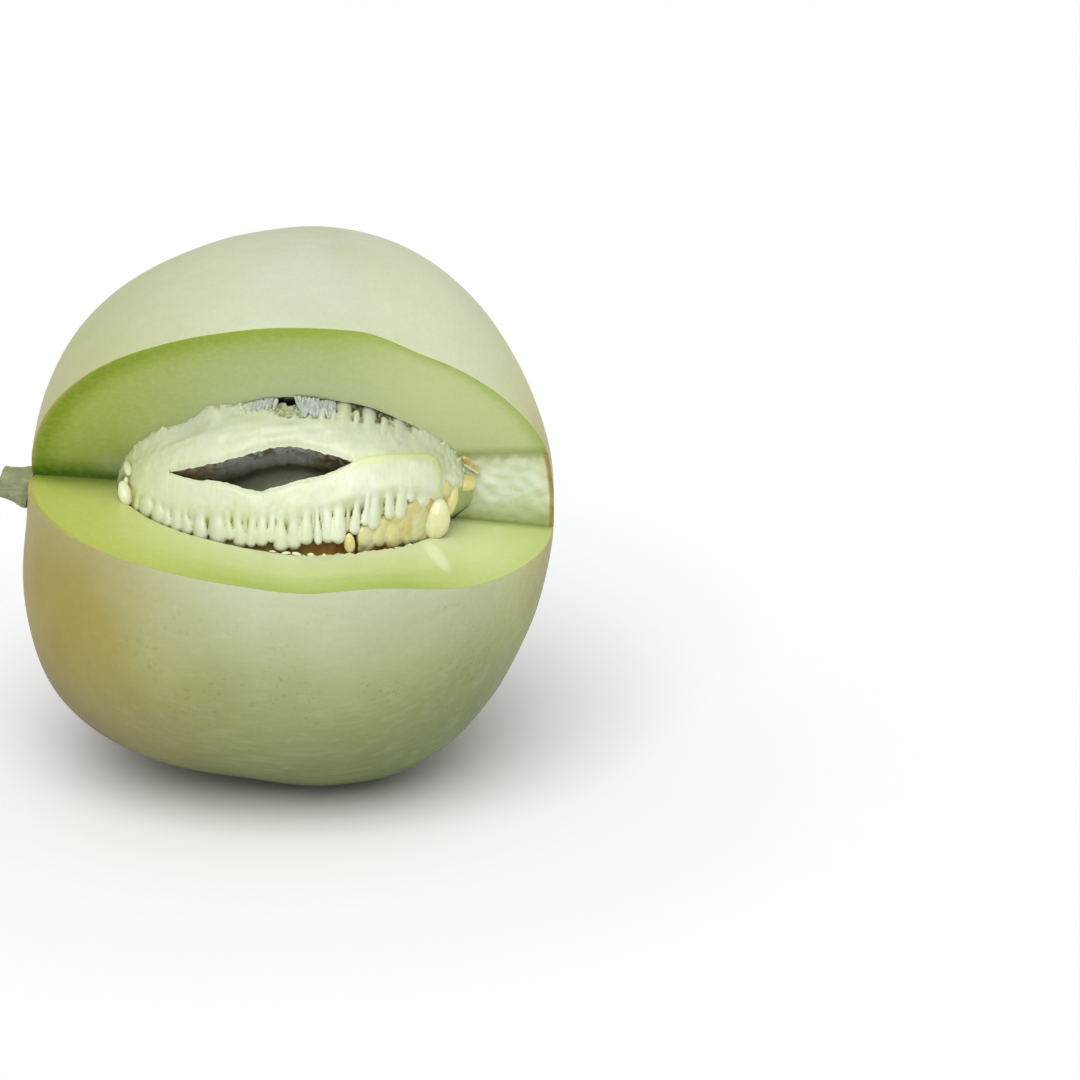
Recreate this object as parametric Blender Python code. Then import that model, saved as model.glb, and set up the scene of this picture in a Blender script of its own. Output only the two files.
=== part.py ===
"""A pale green melon on its side with a wedge cut out of its front.

The fruit's length runs along X, from the stem end (-X) to the blossom end (+X). The cut faces -Y, and the
melon rests on a small flat spot. Two knife cuts lead in from the skin and stop short of each other, and the
flesh between their ends is torn. The seed cavity holds the pulp, with its slit and its fringe of seeds.
"""
import math

import bmesh
import bpy
import numpy as np

# Outer body: a superellipsoid of revolution about X with gentle swells (metres, from the melon's centre)
HALF_LENGTH = 0.0754
HALF_WIDTH = 0.0793
SQUARENESS = 2.09
LEAN = 0.029
SWELLS = ((3, -0.00041, -0.00131), (4, -0.00112, 0.00058), (5, 0.00122, 0.00037))
FLAT_HEIGHT = -0.0745
GROUND_SIZE = 0.30
BODY_STEPS = (32, 56)
SHARP_ANGLE = 35.0

# Where the melon's centre stands, so that the origin is under the middle of the whole thing's box
MELON_CENTRE = (0.00316, 0.0, 0.0745)

# Wedge: where the two knife cuts end inside, at the stem end and at the blossom end (x, y, z)
UPPER_CUT_ENDS = ((-0.072, 0.0000, 0.0115), (0.074, -0.0127, 0.0212))
LOWER_CUT_ENDS = ((-0.072, -0.0020, 0.0105), (0.074, -0.0090, -0.0020))
UPPER_ANGLE = 51.3
UPPER_KINK = 2.9
KINK_PLACE = (0.022, 0.034)
LOWER_ANGLE = -0.5
LOWER_WAVE = 1.1
WAVE_LENGTH = 0.060
WAVE_START = 0.009
WAVE_RISE = (-0.020, 0.020)
CUT_REACH = 0.120
CUT_HALF_LENGTH = 0.092
CUT_ROWS = 24

# Seed cavity: an ellipsoid
CAVITY_CENTRE = (0.0020, 0.0, -0.0017)
CAVITY_HALF_LENGTH = 0.0510
CAVITY_RADIUS = 0.0497
CAVITY_STEPS = (22, 36)

# Pulp: how far its surface lies inside the cavity's, by the angle up from the front (degrees, metres)
PULP_GAP = 0.0008
PULP_DEPTHS = (
    (-180.0, PULP_GAP),
    (-12.0, PULP_GAP),
    (-8.0, 0.0046),
    (9.0, 0.0046),
    (15.0, 0.0028),
    (22.0, 0.0017),
    (27.0, 0.0022),
    (42.0, 0.0026),
    (50.0, 0.0017),
    (58.0, 0.0020),
    (64.0, PULP_GAP),
    (180.0, PULP_GAP),
)
PULP_ROWS = 38
PULP_FRONT = (-12.0, 66.0, 27)
PULP_BACK_STEPS = 16
PULP_END_RADIUS = 0.012

# Lobe: the raised right half of the lower lip, with its upper edge climbing to the right
LOBE_RISE = 0.0016
LOBE_FOOT = (12.0, 20.0)
LOBE_TOP = 38.0
LOBE_CLIMB = 12.0
LOBE_CLIMB_X = (0.017, 0.034)
LOBE_LEFT_X = (0.010, 0.022)
LOBE_RIGHT_X = (0.038, 0.042)
LOBE_EDGE = 2.0

# Slit between the pulp's lips: its ends, its widest place and how deep it goes
SLIT_X = (-0.0305, 0.0168)
SLIT_END_ANGLE = 38.5
SLIT_TOP_RISE = 3.4
SLIT_BOTTOM_DROP = 11.5
SLIT_BOTTOM_BOW = 1.3
SLIT_OUTSIDE = 0.004
SLIT_NECK = 0.006
SLIT_FLOOR = 0.60
SLIT_FLOOR_SPREAD = (0.8, 0.6)
SLIT_END_DEPTH = 0.001
SLIT_ROWS = 13

# Fringe: seeds in their pulp, side by side along the lower lip
FINGER_X = (-0.0405, 0.0290)
FINGER_PITCH = 0.0041
FINGER_LENGTH = 0.0102
FINGER_RADIUS = 0.0018
FINGER_DEPTH = 0.0026
FINGER_ROOT_SINK = 0.0012
FINGER_TIP_RISE = 0.6
FINGER_PROFILE = ((0.10, 0.62), (0.35, 0.80), (0.65, 1.0), (0.85, 0.86), (0.96, 0.50))
FINGER_SIDES = 8
FINGER_UNEVEN = {"tip_angle": 0.6, "shift": 0.0004, "radius": 0.08}
FINGER_SEED = 7
STEEPEST = 0.9

# Ripe seeds: half sizes across, through and along each one, and the skin that holds them together
RIPE_SEEDS = (
    (0.0164, 6.4, (0.0018, 0.0012, 0.0032), 6.0),
    (0.0300, 9.5, (0.0017, 0.0014, 0.0040), -4.0),
    (0.0345, 10.0, (0.0018, 0.0015, 0.0042), 5.0),
    (0.0402, 16.5, (0.0030, 0.0019, 0.0043), 0.0),
    (0.0448, 27.0, (0.0018, 0.0014, 0.0038), 12.0),
    (0.0478, 41.0, (0.0022, 0.0014, 0.0030), 25.0),
)
SKIN_PATH = (
    (0.0120, 3.0),
    (0.0200, 2.5),
    (0.0280, 3.5),
    (0.0350, 7.0),
    (0.0408, 15.0),
    (0.0450, 27.0),
    (0.0478, 40.0),
    (0.0492, 50.0),
)
SKIN_HALF = (0.0024, 0.0006)
SEED_DEPTH = 0.0022
SKIN_DEPTH = 0.0019
SEED_GAP = 0.0004
SEED_ROWS = 8
SEED_SIDES = 10
SKIN_ROWS = 22
SKIN_SIDES = 8

# Stem: a short stub, thicker where it meets the fruit
STEM_ROOT = (-0.0735, 0.0020, 0.0062)
STEM_TIP = (-0.0806, 0.0026, 0.0078)
STEM_RADIUS = 0.0060
STEM_SUNK = 0.45
STEM_PROFILE = (
    (-STEM_SUNK, 1.02),
    (0.0, 1.0),
    (0.18, 0.90),
    (0.45, 0.79),
    (0.80, 0.74),
    (0.95, 0.72),
    (1.0, 0.62),
)
STEM_RIBS = 5
STEM_RIB_HEIGHT = 0.05
STEM_SIDES = 20
STEM_GAP = 0.0003

MATERIALS = {
    "melon_body": ((0.62, 0.69, 0.42), 0.45),
    "stem": ((0.27, 0.34, 0.16), 0.70),
    "seed_pulp": ((0.78, 0.83, 0.58), 0.30),
    "ripe_seeds": ((0.62, 0.46, 0.16), 0.25),
}


def smooth_step(value, low, high):
    """0 below low, 1 above high, and an S curve between."""
    t = np.clip((np.asarray(value, float) - low) / (high - low), 0.0, 1.0)
    return t * t * (3.0 - 2.0 * t)


def make_object(name, points, faces):
    """A mesh object from points and faces, with its faces turned outwards."""
    mesh = bpy.data.meshes.new(name)
    mesh.from_pydata([tuple(p) for p in points], [], faces)
    work = bmesh.new()
    work.from_mesh(mesh)
    bmesh.ops.recalc_face_normals(work, faces=work.faces)
    work.to_mesh(mesh)
    work.free()
    shape = bpy.data.objects.new(name, mesh)
    bpy.context.scene.collection.objects.link(shape)
    return shape


def closed_rings(name, rings, first, last):
    """A closed skin over rings of equal count, with a point at each end."""
    rows, columns = rings.shape[:2]
    points = [first] + list(rings.reshape(-1, 3)) + [last]
    end = rows * columns + 1
    faces = []
    for j in range(columns):
        k = (j + 1) % columns
        faces.append((0, 1 + k, 1 + j))
        faces.append((end, end - columns + j, end - columns + k))
        for i in range(rows - 1):
            low = 1 + i * columns
            faces.append((low + j, low + k, low + columns + k, low + columns + j))
    return make_object(name, points, faces)


def use_as_cutter(shape):
    """Keeps a cutting shape out of the model itself."""
    shape.hide_render = True
    shape.display_type = "WIRE"


def cut(shape, cutter):
    """Takes the cutter's volume from the shape."""
    use_as_cutter(cutter)
    step = shape.modifiers.new("cut_" + cutter.name, "BOOLEAN")
    step.operation = "DIFFERENCE"
    step.solver = "EXACT"
    step.object = cutter


def finish(shape):
    """Gives the shape its material and smooth shading."""
    colour, roughness = MATERIALS[shape.name]
    material = bpy.data.materials.new(shape.name)
    material.use_nodes = True
    shader = material.node_tree.nodes["Principled BSDF"]
    shader.inputs["Base Color"].default_value = (*colour, 1.0)
    shader.inputs["Roughness"].default_value = roughness
    shader.inputs["Metallic"].default_value = 0.0
    shape.data.materials.append(material)
    shape.data.shade_smooth()
    shape.data.set_sharp_from_angle(angle=math.radians(SHARP_ANGLE))


def body_points(along, around):
    """Points on the whole melon: along runs 0 to pi from stem end to blossom end, around goes round X."""
    power = 2.0 / SQUARENESS
    x = -HALF_LENGTH * np.sign(np.cos(along)) * np.abs(np.cos(along)) ** power
    radius = HALF_WIDTH * np.abs(np.sin(along)) ** power
    y = -radius * np.cos(around)
    z = radius * np.sin(around)
    turn = np.arctan2(z, x)
    distance = np.sqrt(x * x + y * y + z * z)
    swell = np.zeros_like(x)
    for count, cosine, sine in SWELLS:
        swell += cosine * np.cos(count * turn) + sine * np.sin(count * turn)
    scale = 1.0 + swell * (x * x + z * z) / distance ** 3
    x, y, z = x * scale, y * scale, z * scale
    return np.stack([x + LEAN * z, y, z], axis=-1)


def whole_melon():
    """The uncut melon as one closed skin."""
    along = np.linspace(0.0, math.pi, BODY_STEPS[0])
    around = np.linspace(0.0, 2.0 * math.pi, BODY_STEPS[1], endpoint=False)
    grid = body_points(*np.meshgrid(along, around, indexing="ij"))
    return closed_rings("melon_body", grid[1:-1], grid[0, 0], grid[-1, 0])


def cut_end(ends, x):
    """The (y, z) of a cut's inner end at x, on the straight line between its two ends."""
    (x0, y0, z0), (x1, y1, z1) = ends
    t = (x - x0) / (x1 - x0)
    return y0 + t * (y1 - y0), z0 + t * (z1 - z0)


def wedge():
    """The volume that the two knife cuts and the tear take away."""
    rows = []
    for x in np.linspace(-CUT_HALF_LENGTH, CUT_HALF_LENGTH, CUT_ROWS):
        upper = math.radians(UPPER_ANGLE - UPPER_KINK * float(smooth_step(x, *KINK_PLACE)))
        wave = math.sin(2.0 * math.pi * (x - WAVE_START) / WAVE_LENGTH)
        lower = math.radians(LOWER_ANGLE + LOWER_WAVE * wave * float(smooth_step(x, *WAVE_RISE)))
        uy, uz = cut_end(UPPER_CUT_ENDS, x)
        ly, lz = cut_end(LOWER_CUT_ENDS, x)
        far_upper = (x, uy - CUT_REACH * math.cos(upper), uz + CUT_REACH * math.sin(upper))
        far_lower = (x, ly - CUT_REACH * math.cos(lower), lz + CUT_REACH * math.sin(lower))
        rows.append([(x, uy, uz), far_upper, far_lower, (x, ly, lz)])
    count = len(rows)
    points = [p for row in rows for p in row]
    faces = [(3, 2, 1, 0), tuple(4 * (count - 1) + i for i in range(4))]
    for i in range(count - 1):
        for j in range(4):
            k = (j + 1) % 4
            faces.append((4 * i + j, 4 * i + k, 4 * i + 4 + k))
            faces.append((4 * i + j, 4 * i + 4 + k, 4 * i + 4 + j))
    return make_object("wedge_cutter", points, faces)


def cavity_radius(x):
    """The cavity's radius at x."""
    t = np.clip((np.asarray(x, float) - CAVITY_CENTRE[0]) / CAVITY_HALF_LENGTH, -1.0, 1.0)
    return CAVITY_RADIUS * np.sqrt(1.0 - t * t)


def round_core(x, angle, radius):
    """The point at an angle (degrees up from the front) and a radius round the cavity's axis."""
    turn = np.radians(angle)
    y = CAVITY_CENTRE[1] - radius * np.cos(turn)
    z = CAVITY_CENTRE[2] + radius * np.sin(turn)
    return np.stack(np.broadcast_arrays(x, y, z), axis=-1)


def cavity_ends(inset):
    """The two end points of the cavity's axis, each moved in by inset."""
    x, y, z = CAVITY_CENTRE
    half = CAVITY_HALF_LENGTH - inset
    return (x - half, y, z), (x + half, y, z)


def cavity():
    """The hollow in which the pulp lies."""
    along = np.linspace(0.0, math.pi, CAVITY_STEPS[0])[1:-1, None]
    around = np.linspace(-180.0, 180.0, CAVITY_STEPS[1], endpoint=False)[None, :]
    x = CAVITY_CENTRE[0] - CAVITY_HALF_LENGTH * np.cos(along)
    rings = round_core(x, around, CAVITY_RADIUS * np.sin(along))
    first, last = cavity_ends(0.0)
    return closed_rings("cavity_cutter", rings, first, last)


def ground():
    """A slab whose top gives the melon its flat rest spot."""
    work = bmesh.new()
    bmesh.ops.create_cube(work, size=GROUND_SIZE)
    bmesh.ops.translate(work, verts=work.verts, vec=(0.0, 0.0, FLAT_HEIGHT - GROUND_SIZE / 2.0))
    mesh = bpy.data.meshes.new("ground_cutter")
    work.to_mesh(mesh)
    work.free()
    slab = bpy.data.objects.new("ground_cutter", mesh)
    bpy.context.scene.collection.objects.link(slab)
    return slab


def lower_cut_angle(x):
    """The angle round the cavity at which the lower cut meets its wall."""
    height = cut_end(LOWER_CUT_ENDS, x)[1] - CAVITY_CENTRE[2]
    return math.degrees(math.asin(float(np.clip(height / cavity_radius(x), -STEEPEST, STEEPEST))))


def pulp_depth(x, angle):
    """How far the pulp lies inside the cavity's wall."""
    degrees, depths = zip(*PULP_DEPTHS)
    depth = np.interp(angle, degrees, depths)
    top = LOBE_TOP + LOBE_CLIMB * smooth_step(x, *LOBE_CLIMB_X)
    inside = smooth_step(angle, *LOBE_FOOT) * (1.0 - smooth_step(angle, top - LOBE_EDGE, top + LOBE_EDGE))
    right = smooth_step(x, *LOBE_LEFT_X) * (1.0 - smooth_step(x, *LOBE_RIGHT_X))
    return depth - LOBE_RISE * inside * right


def pulp_core():
    """The mass of pulp that fills the cavity, with a groove along the foot of its lower lip."""
    along = np.linspace(0.0, math.pi, PULP_ROWS)[1:-1, None]
    low, high, front_steps = PULP_FRONT
    front = np.linspace(low, high, front_steps)
    behind = np.linspace(high, low + 360.0, PULP_BACK_STEPS)[1:-1]
    around = np.concatenate([front, behind])[None, :]
    turned = (around + 180.0) % 360.0 - 180.0
    x = CAVITY_CENTRE[0] - (CAVITY_HALF_LENGTH - PULP_GAP) * np.cos(along)
    radius = CAVITY_RADIUS * np.sin(along)
    depth = pulp_depth(x, turned) * smooth_step(radius, 0.0, PULP_END_RADIUS)
    rings = round_core(x, around, radius - depth)
    first, last = cavity_ends(PULP_GAP)
    return closed_rings("seed_pulp", rings, first, last)


def slit():
    """The lens-shaped hollow between the pulp's upper and lower lips."""
    rows = []
    down, up = SLIT_FLOOR_SPREAD
    for t in np.linspace(0.0, 1.0, SLIT_ROWS)[1:-1]:
        x = SLIT_X[0] + t * (SLIT_X[1] - SLIT_X[0])
        bow = math.sin(math.pi * t)
        top = SLIT_END_ANGLE + SLIT_TOP_RISE * bow
        bottom = SLIT_END_ANGLE - SLIT_BOTTOM_DROP * bow ** SLIT_BOTTOM_BOW
        wall = float(cavity_radius(x))
        middle = 0.5 * (top + bottom)
        half = 0.5 * (top - bottom)
        ring = [round_core(x, top, wall + SLIT_OUTSIDE), round_core(x, bottom, wall + SLIT_OUTSIDE)]
        ring.append(round_core(x, bottom, wall - SLIT_NECK))
        ring.append(round_core(x, middle - down * half, SLIT_FLOOR * wall))
        ring.append(round_core(x, middle + up * half, SLIT_FLOOR * wall))
        ring.append(round_core(x, top, wall - SLIT_NECK))
        rows.append(ring)
    ends = [round_core(x, SLIT_END_ANGLE, float(cavity_radius(x)) - SLIT_END_DEPTH) for x in SLIT_X]
    return closed_rings("slit_cutter", np.array(rows), ends[0], ends[1])


def capsule(name, start, end, radius):
    """A round-ended finger from start to end, narrow at its root and full near its tip."""
    start, end = np.array(start), np.array(end)
    axis = end - start
    length = np.linalg.norm(axis)
    axis = axis / length
    side = np.cross(axis, (1.0, 0.0, 0.0))
    side = side / np.linalg.norm(side)
    other = np.cross(axis, side)
    turns = np.linspace(0.0, 2.0 * math.pi, FINGER_SIDES, endpoint=False)[:, None]
    rings = []
    for t, width in FINGER_PROFILE:
        circle = np.cos(turns) * side + np.sin(turns) * other
        rings.append(start + axis * length * t + radius * width * circle)
    return closed_rings(name, np.array(rings), start, end)


def fringe():
    """The row of seeds in their pulp that hang from the lower lip."""
    shapes = []
    count = int(round((FINGER_X[1] - FINGER_X[0]) / FINGER_PITCH)) + 1
    draw = np.random.default_rng(FINGER_SEED)
    uneven = FINGER_UNEVEN
    for i in range(count):
        x = FINGER_X[0] + i * (FINGER_X[1] - FINGER_X[0]) / (count - 1)
        wall = float(cavity_radius(x))
        tip_angle = lower_cut_angle(x) + FINGER_TIP_RISE
        tip_angle += draw.uniform(-uneven["tip_angle"], uneven["tip_angle"])
        root_angle = tip_angle + math.degrees(FINGER_LENGTH / wall)
        shift = draw.uniform(-uneven["shift"], uneven["shift"])
        root = round_core(x + shift, root_angle, wall - FINGER_DEPTH - FINGER_ROOT_SINK)
        tip = round_core(x - shift, tip_angle, wall - FINGER_DEPTH)
        width = FINGER_RADIUS * draw.uniform(1.0 - uneven["radius"], 1.0 + uneven["radius"])
        shapes.append(capsule("finger_%02d" % i, root, tip, width))
    return shapes


def seed(name, x, angle, half, lean, grow):
    """One plump seed lying against the cavity's wall, longest along the wall."""
    wall = float(cavity_radius(x))
    middle = round_core(x, angle, wall - SEED_DEPTH)
    outward = round_core(0.0, angle, 1.0) - round_core(0.0, angle, 0.0)
    upward = np.array([0.0, -outward[2], outward[1]])
    upward = upward * (-1.0 if upward[2] < 0.0 else 1.0)
    tilt = math.radians(lean)
    across = np.array([1.0, 0.0, 0.0]) * math.cos(tilt) + upward * math.sin(tilt)
    along = -np.array([1.0, 0.0, 0.0]) * math.sin(tilt) + upward * math.cos(tilt)
    turns = np.linspace(0.0, 2.0 * math.pi, SEED_SIDES, endpoint=False)[:, None]
    rings = []
    for rise in np.linspace(-1.0, 1.0, SEED_ROWS)[1:-1]:
        width = math.sqrt(1.0 - rise * rise)
        ring = middle + along * (half[2] + grow) * rise
        ring = ring + across * (half[0] + grow) * width * np.cos(turns)
        ring = ring + outward * (half[1] + grow) * width * np.sin(turns)
        rings.append(ring)
    ends = [middle - along * (half[2] + grow), middle + along * (half[2] + grow)]
    return closed_rings(name, np.array(rings), ends[0], ends[1])


def wet_skin(name, grow):
    """The thin band of wet pulp behind the ripe seeds, along the cavity's wall."""
    path_x, path_angle = zip(*SKIN_PATH)
    place = np.linspace(0.0, 1.0, SKIN_ROWS)
    knots = np.linspace(0.0, 1.0, len(SKIN_PATH))
    x = np.interp(place, knots, path_x)
    angle = np.interp(place, knots, path_angle)
    centres = round_core(x, angle, cavity_radius(x) - SKIN_DEPTH)
    turns = np.linspace(0.0, 2.0 * math.pi, SKIN_SIDES, endpoint=False)[:, None]
    rings = []
    for i in range(1, SKIN_ROWS - 1):
        forward = centres[i + 1] - centres[i - 1]
        forward = forward / np.linalg.norm(forward)
        outward = np.array([0.0, -math.cos(math.radians(angle[i])), math.sin(math.radians(angle[i]))])
        outward = outward - forward * outward.dot(forward)
        outward = outward / np.linalg.norm(outward)
        across = np.cross(forward, outward)
        taper = math.sqrt(math.sin(math.pi * place[i]))
        ring = centres[i] + across * (SKIN_HALF[0] * taper + grow) * np.cos(turns)
        rings.append(ring + outward * (SKIN_HALF[1] + grow) * np.sin(turns))
    return closed_rings(name, np.array(rings), centres[0], centres[-1])


def fuse(base, extras):
    """Joins a collection of overlapping shapes to the base as one body."""
    group = bpy.data.collections.new(base.name + "_parts")
    bpy.context.scene.collection.children.link(group)
    for shape in extras:
        bpy.context.scene.collection.objects.unlink(shape)
        group.objects.link(shape)
    step = base.modifiers.new("fuse", "BOOLEAN")
    step.operation = "UNION"
    step.solver = "EXACT"
    step.operand_type = "COLLECTION"
    step.collection = group
    graph = bpy.context.evaluated_depsgraph_get()
    joined = bpy.data.meshes.new_from_object(base.evaluated_get(graph))
    base.modifiers.clear()
    base.data = joined
    for shape in list(group.objects):
        bpy.data.objects.remove(shape)
    bpy.data.collections.remove(group)
    return base


def ripe_seeds(name, grow=0.0):
    """The ripe seeds and the wet skin behind them, as one body, thicker all over by grow."""
    base = wet_skin(name, grow)
    extras = []
    for i, (x, angle, half, lean) in enumerate(RIPE_SEEDS):
        extras.append(seed("seed_%02d" % i, x, angle, half, lean, grow))
    return fuse(base, extras)


def stem(name, grow=0.0):
    """The cut stub of the stalk, flared at its root."""
    root, tip = np.array(STEM_ROOT), np.array(STEM_TIP)
    axis = tip - root
    length = np.linalg.norm(axis)
    axis = axis / length
    side = np.cross(axis, (0.0, 0.0, 1.0))
    side = side / np.linalg.norm(side)
    other = np.cross(axis, side)
    turns = np.linspace(0.0, 2.0 * math.pi, STEM_SIDES, endpoint=False)[:, None]
    rings = []
    for t, width in STEM_PROFILE:
        radius = STEM_RADIUS * width + grow
        ribs = 1.0 + STEM_RIB_HEIGHT * np.cos(STEM_RIBS * turns)
        circle = np.cos(turns) * side + np.sin(turns) * other
        rings.append(root + axis * length * t + radius * ribs * circle)
    return closed_rings(name, np.array(rings), root - axis * length * STEM_SUNK, tip)


def build():
    """Makes the four pieces and lifts them onto the ground."""
    body = whole_melon()
    cut(body, wedge())
    cut(body, cavity())
    cut(body, ground())
    cut(body, stem("stem_cutter", STEM_GAP))
    pulp = fuse(pulp_core(), fringe())
    cut(pulp, slit())
    cut(pulp, ripe_seeds("seed_cutter", SEED_GAP))
    pieces = [body, stem("stem"), pulp, ripe_seeds("ripe_seeds")]
    for piece in pieces:
        finish(piece)
    for shape in bpy.context.scene.objects:
        shape.location = MELON_CENTRE
    return pieces


for old in list(bpy.data.objects):
    bpy.data.objects.remove(old)
build()
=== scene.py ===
import math

import bpy
import numpy as np
from mathutils import Matrix, Vector


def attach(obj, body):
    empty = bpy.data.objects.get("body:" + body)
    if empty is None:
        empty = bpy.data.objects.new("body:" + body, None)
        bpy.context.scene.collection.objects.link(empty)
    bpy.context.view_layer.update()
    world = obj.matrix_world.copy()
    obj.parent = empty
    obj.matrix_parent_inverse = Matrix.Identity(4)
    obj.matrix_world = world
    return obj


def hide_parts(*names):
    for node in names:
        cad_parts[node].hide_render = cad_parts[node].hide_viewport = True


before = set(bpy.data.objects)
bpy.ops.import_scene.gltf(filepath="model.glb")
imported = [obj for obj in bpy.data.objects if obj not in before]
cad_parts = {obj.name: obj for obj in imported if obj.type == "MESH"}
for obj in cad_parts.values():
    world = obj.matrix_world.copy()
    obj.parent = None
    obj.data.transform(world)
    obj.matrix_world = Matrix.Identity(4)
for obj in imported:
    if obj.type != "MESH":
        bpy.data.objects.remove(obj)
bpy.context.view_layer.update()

scene = bpy.context.scene

# Shapes are worked out in millimetres from the melon's centre, with +X at the blossom end, and lifted last
centre = np.array((0.00316, 0.0, 0.0745))
millimetre = 0.001


def smooth(value, low, high):
    # an S curve, 3t^2 - 2t^3, from 0 at low to 1 at high
    t = np.clip((value - low) / (high - low), 0.0, 1.0)
    return t * t * (3.0 - 2.0 * t)


def fall(value, low, high):
    # the same curve from 1 down to 0
    return 1.0 - smooth(value, low, high)


def softMin(a, b, width):
    # the smaller of a and b, with the corner rounded over width
    h = np.clip(0.5 + 0.5 * (b - a) / width, 0.0, 1.0)
    return b + (a - b) * h - width * h * (1.0 - h)


def curve(value, knots):
    # straight lines through (value, result) pairs
    places, results = zip(*knots)
    return np.interp(value, places, results)


def ripple(points, size, seed, stretch=(1.0, 1.0, 1.0), waves=16):
    # the sum of sine waves that run in seeded directions, about one swing for each size, near -1 to 1
    draw = np.random.default_rng(seed)
    directions = draw.normal(size=(waves, 3))
    directions /= np.linalg.norm(directions, axis=1, keepdims=True) * np.array(stretch)
    lengths = size * draw.uniform(0.65, 1.6, waves)
    phases = draw.uniform(0.0, 2.0 * math.pi, waves)
    total = np.zeros(points.shape[:-1])
    for direction, length, phase in zip(directions, lengths, phases):
        total += np.sin((points @ direction) * (2.0 * math.pi / length) + phase)
    return total / math.sqrt(2.0 * waves)


def relief(points, rows, start=0.0):
    # start with waves added: each row is a height and a ripple's size, seed and perhaps stretch
    for height, *row in rows:
        start = start + height * ripple(points, *row)
    return start


def fullTurn(count):
    # even turns once round, in radians
    return np.linspace(0.0, 2.0 * math.pi, count, endpoint=False)


def rings(stack, first, last):
    # rings of equal count joined by quads, with a fan of triangles to the point at each end
    rows, columns = stack.shape[:2]
    points = np.concatenate([[first], stack.reshape(-1, 3), [last]])
    index = 1 + np.arange(rows * columns).reshape(rows, columns)
    beside = np.roll(index, -1, axis=1)
    quads = np.stack([index[:-1], beside[:-1], beside[1:], index[1:]], axis=-1).reshape(-1, 4)
    startFan = np.stack([np.zeros(columns, int), beside[0], index[0]], axis=-1)
    endFan = np.stack([np.full(columns, len(points) - 1), index[-1], beside[-1]], axis=-1)
    corners = np.concatenate([startFan.ravel(), quads.ravel(), endFan.ravel()])
    counts = np.concatenate([np.full(columns, 3), np.full(len(quads), 4), np.full(columns, 3)])
    return points, corners, counts


def makeMesh(name, parts, materials=(), numbers=None):
    # one mesh from closed parts, turned round if its signed volume comes out negative
    offsets = np.cumsum([0] + [len(points) for points, _, _ in parts])
    points = np.concatenate([part[0] for part in parts])
    corners = np.concatenate([part[1] + offset for part, offset in zip(parts, offsets)])
    counts = np.concatenate([part[2] for part in parts])
    mesh = bpy.data.meshes.new(name)
    mesh.vertices.add(len(points))
    mesh.vertices.foreach_set("co", np.ascontiguousarray(points, dtype=np.float32).ravel())
    mesh.loops.add(len(corners))
    mesh.loops.foreach_set("vertex_index", corners.astype(np.int32))
    starts = np.concatenate([[0], np.cumsum(counts)[:-1]])
    mesh.polygons.add(len(counts))
    mesh.polygons.foreach_set("loop_start", starts.astype(np.int32))
    for material in materials:
        mesh.materials.append(material)
    if numbers is not None:
        mesh.polygons.foreach_set("material_index", np.broadcast_to(numbers, len(counts)).astype(np.int32))
    mesh.update(calc_edges=True)
    a, b, c = (points[corners[starts + i]] for i in range(3))
    d = points[corners[starts + counts - 1]]
    volume = np.einsum("ij,ij->", a, np.cross(b, c)) + np.einsum("ij,ij->", a, np.cross(c, d))
    if volume < 0.0:
        mesh.flip_normals()
    made = bpy.data.objects.new(name, mesh)
    scene.collection.objects.link(made)
    return made


def meshPoints(mesh):
    flat = np.empty(len(mesh.vertices) * 3, dtype=np.float32)
    mesh.vertices.foreach_get("co", flat)
    return flat.reshape(-1, 3).astype(float)


def setValues(piece, **values):
    # a number for each vertex, which a material reads by its name
    for name, numbers in values.items():
        layer = piece.data.attributes.new(name, "FLOAT", "POINT")
        layer.data.foreach_set("value", np.ascontiguousarray(numbers, dtype=np.float32))


def carve(shape, cutters):
    # takes the cutters' volumes away, and each face keeps the material number of the mesh it came from
    for cutter in cutters:
        step = shape.modifiers.new(cutter.name, "BOOLEAN")
        step.operation = "DIFFERENCE"
        step.solver = "MANIFOLD"
        step.object = cutter
    graph = bpy.context.evaluated_depsgraph_get()
    carved = bpy.data.meshes.new_from_object(shape.evaluated_get(graph))
    shape.modifiers.clear()
    shape.data = carved
    for cutter in cutters:
        bpy.data.objects.remove(cutter)
    return shape


def finish(piece, node, edgeAngle=38.0):
    # scales the piece to metres, lifts it to its place, and hides the imported part it takes the place of, if
    # there is one
    lifted = meshPoints(piece.data) * millimetre + centre
    piece.data.vertices.foreach_set("co", np.ascontiguousarray(lifted, dtype=np.float32).ravel())
    piece.data.update()
    piece.data.shade_smooth()
    piece.data.set_sharp_from_angle(angle=math.radians(edgeAngle))
    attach(piece, "root")
    if node:
        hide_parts(node)
    print(piece.name, len(piece.data.loops) - 2 * len(piece.data.polygons), "triangles")


# Shader maths

class Wire:
    # an output socket that is added to, multiplied and so on as a number is
    def __init__(self, paint, socket):
        self.paint = paint
        self.socket = socket

    def __add__(self, other):
        return self.paint.maths("ADD", self, other)

    def __sub__(self, other):
        return self.paint.maths("SUBTRACT", self, other)

    def __mul__(self, other):
        return self.paint.maths("MULTIPLY", self, other)

    def __truediv__(self, other):
        return self.paint.maths("DIVIDE", self, other)

    def __rsub__(self, other):
        return self.paint.maths("SUBTRACT", other, self)

    __radd__ = __add__
    __rmul__ = __mul__

    def spread(self, low, high):
        # 0 at low, 1 at high and an S curve between, either way round
        inputs = {"Value": self, "From Min": low, "From Max": high}
        return self.paint.node("ShaderNodeMapRange", {"interpolation_type": "SMOOTHSTEP"}, inputs)


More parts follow.
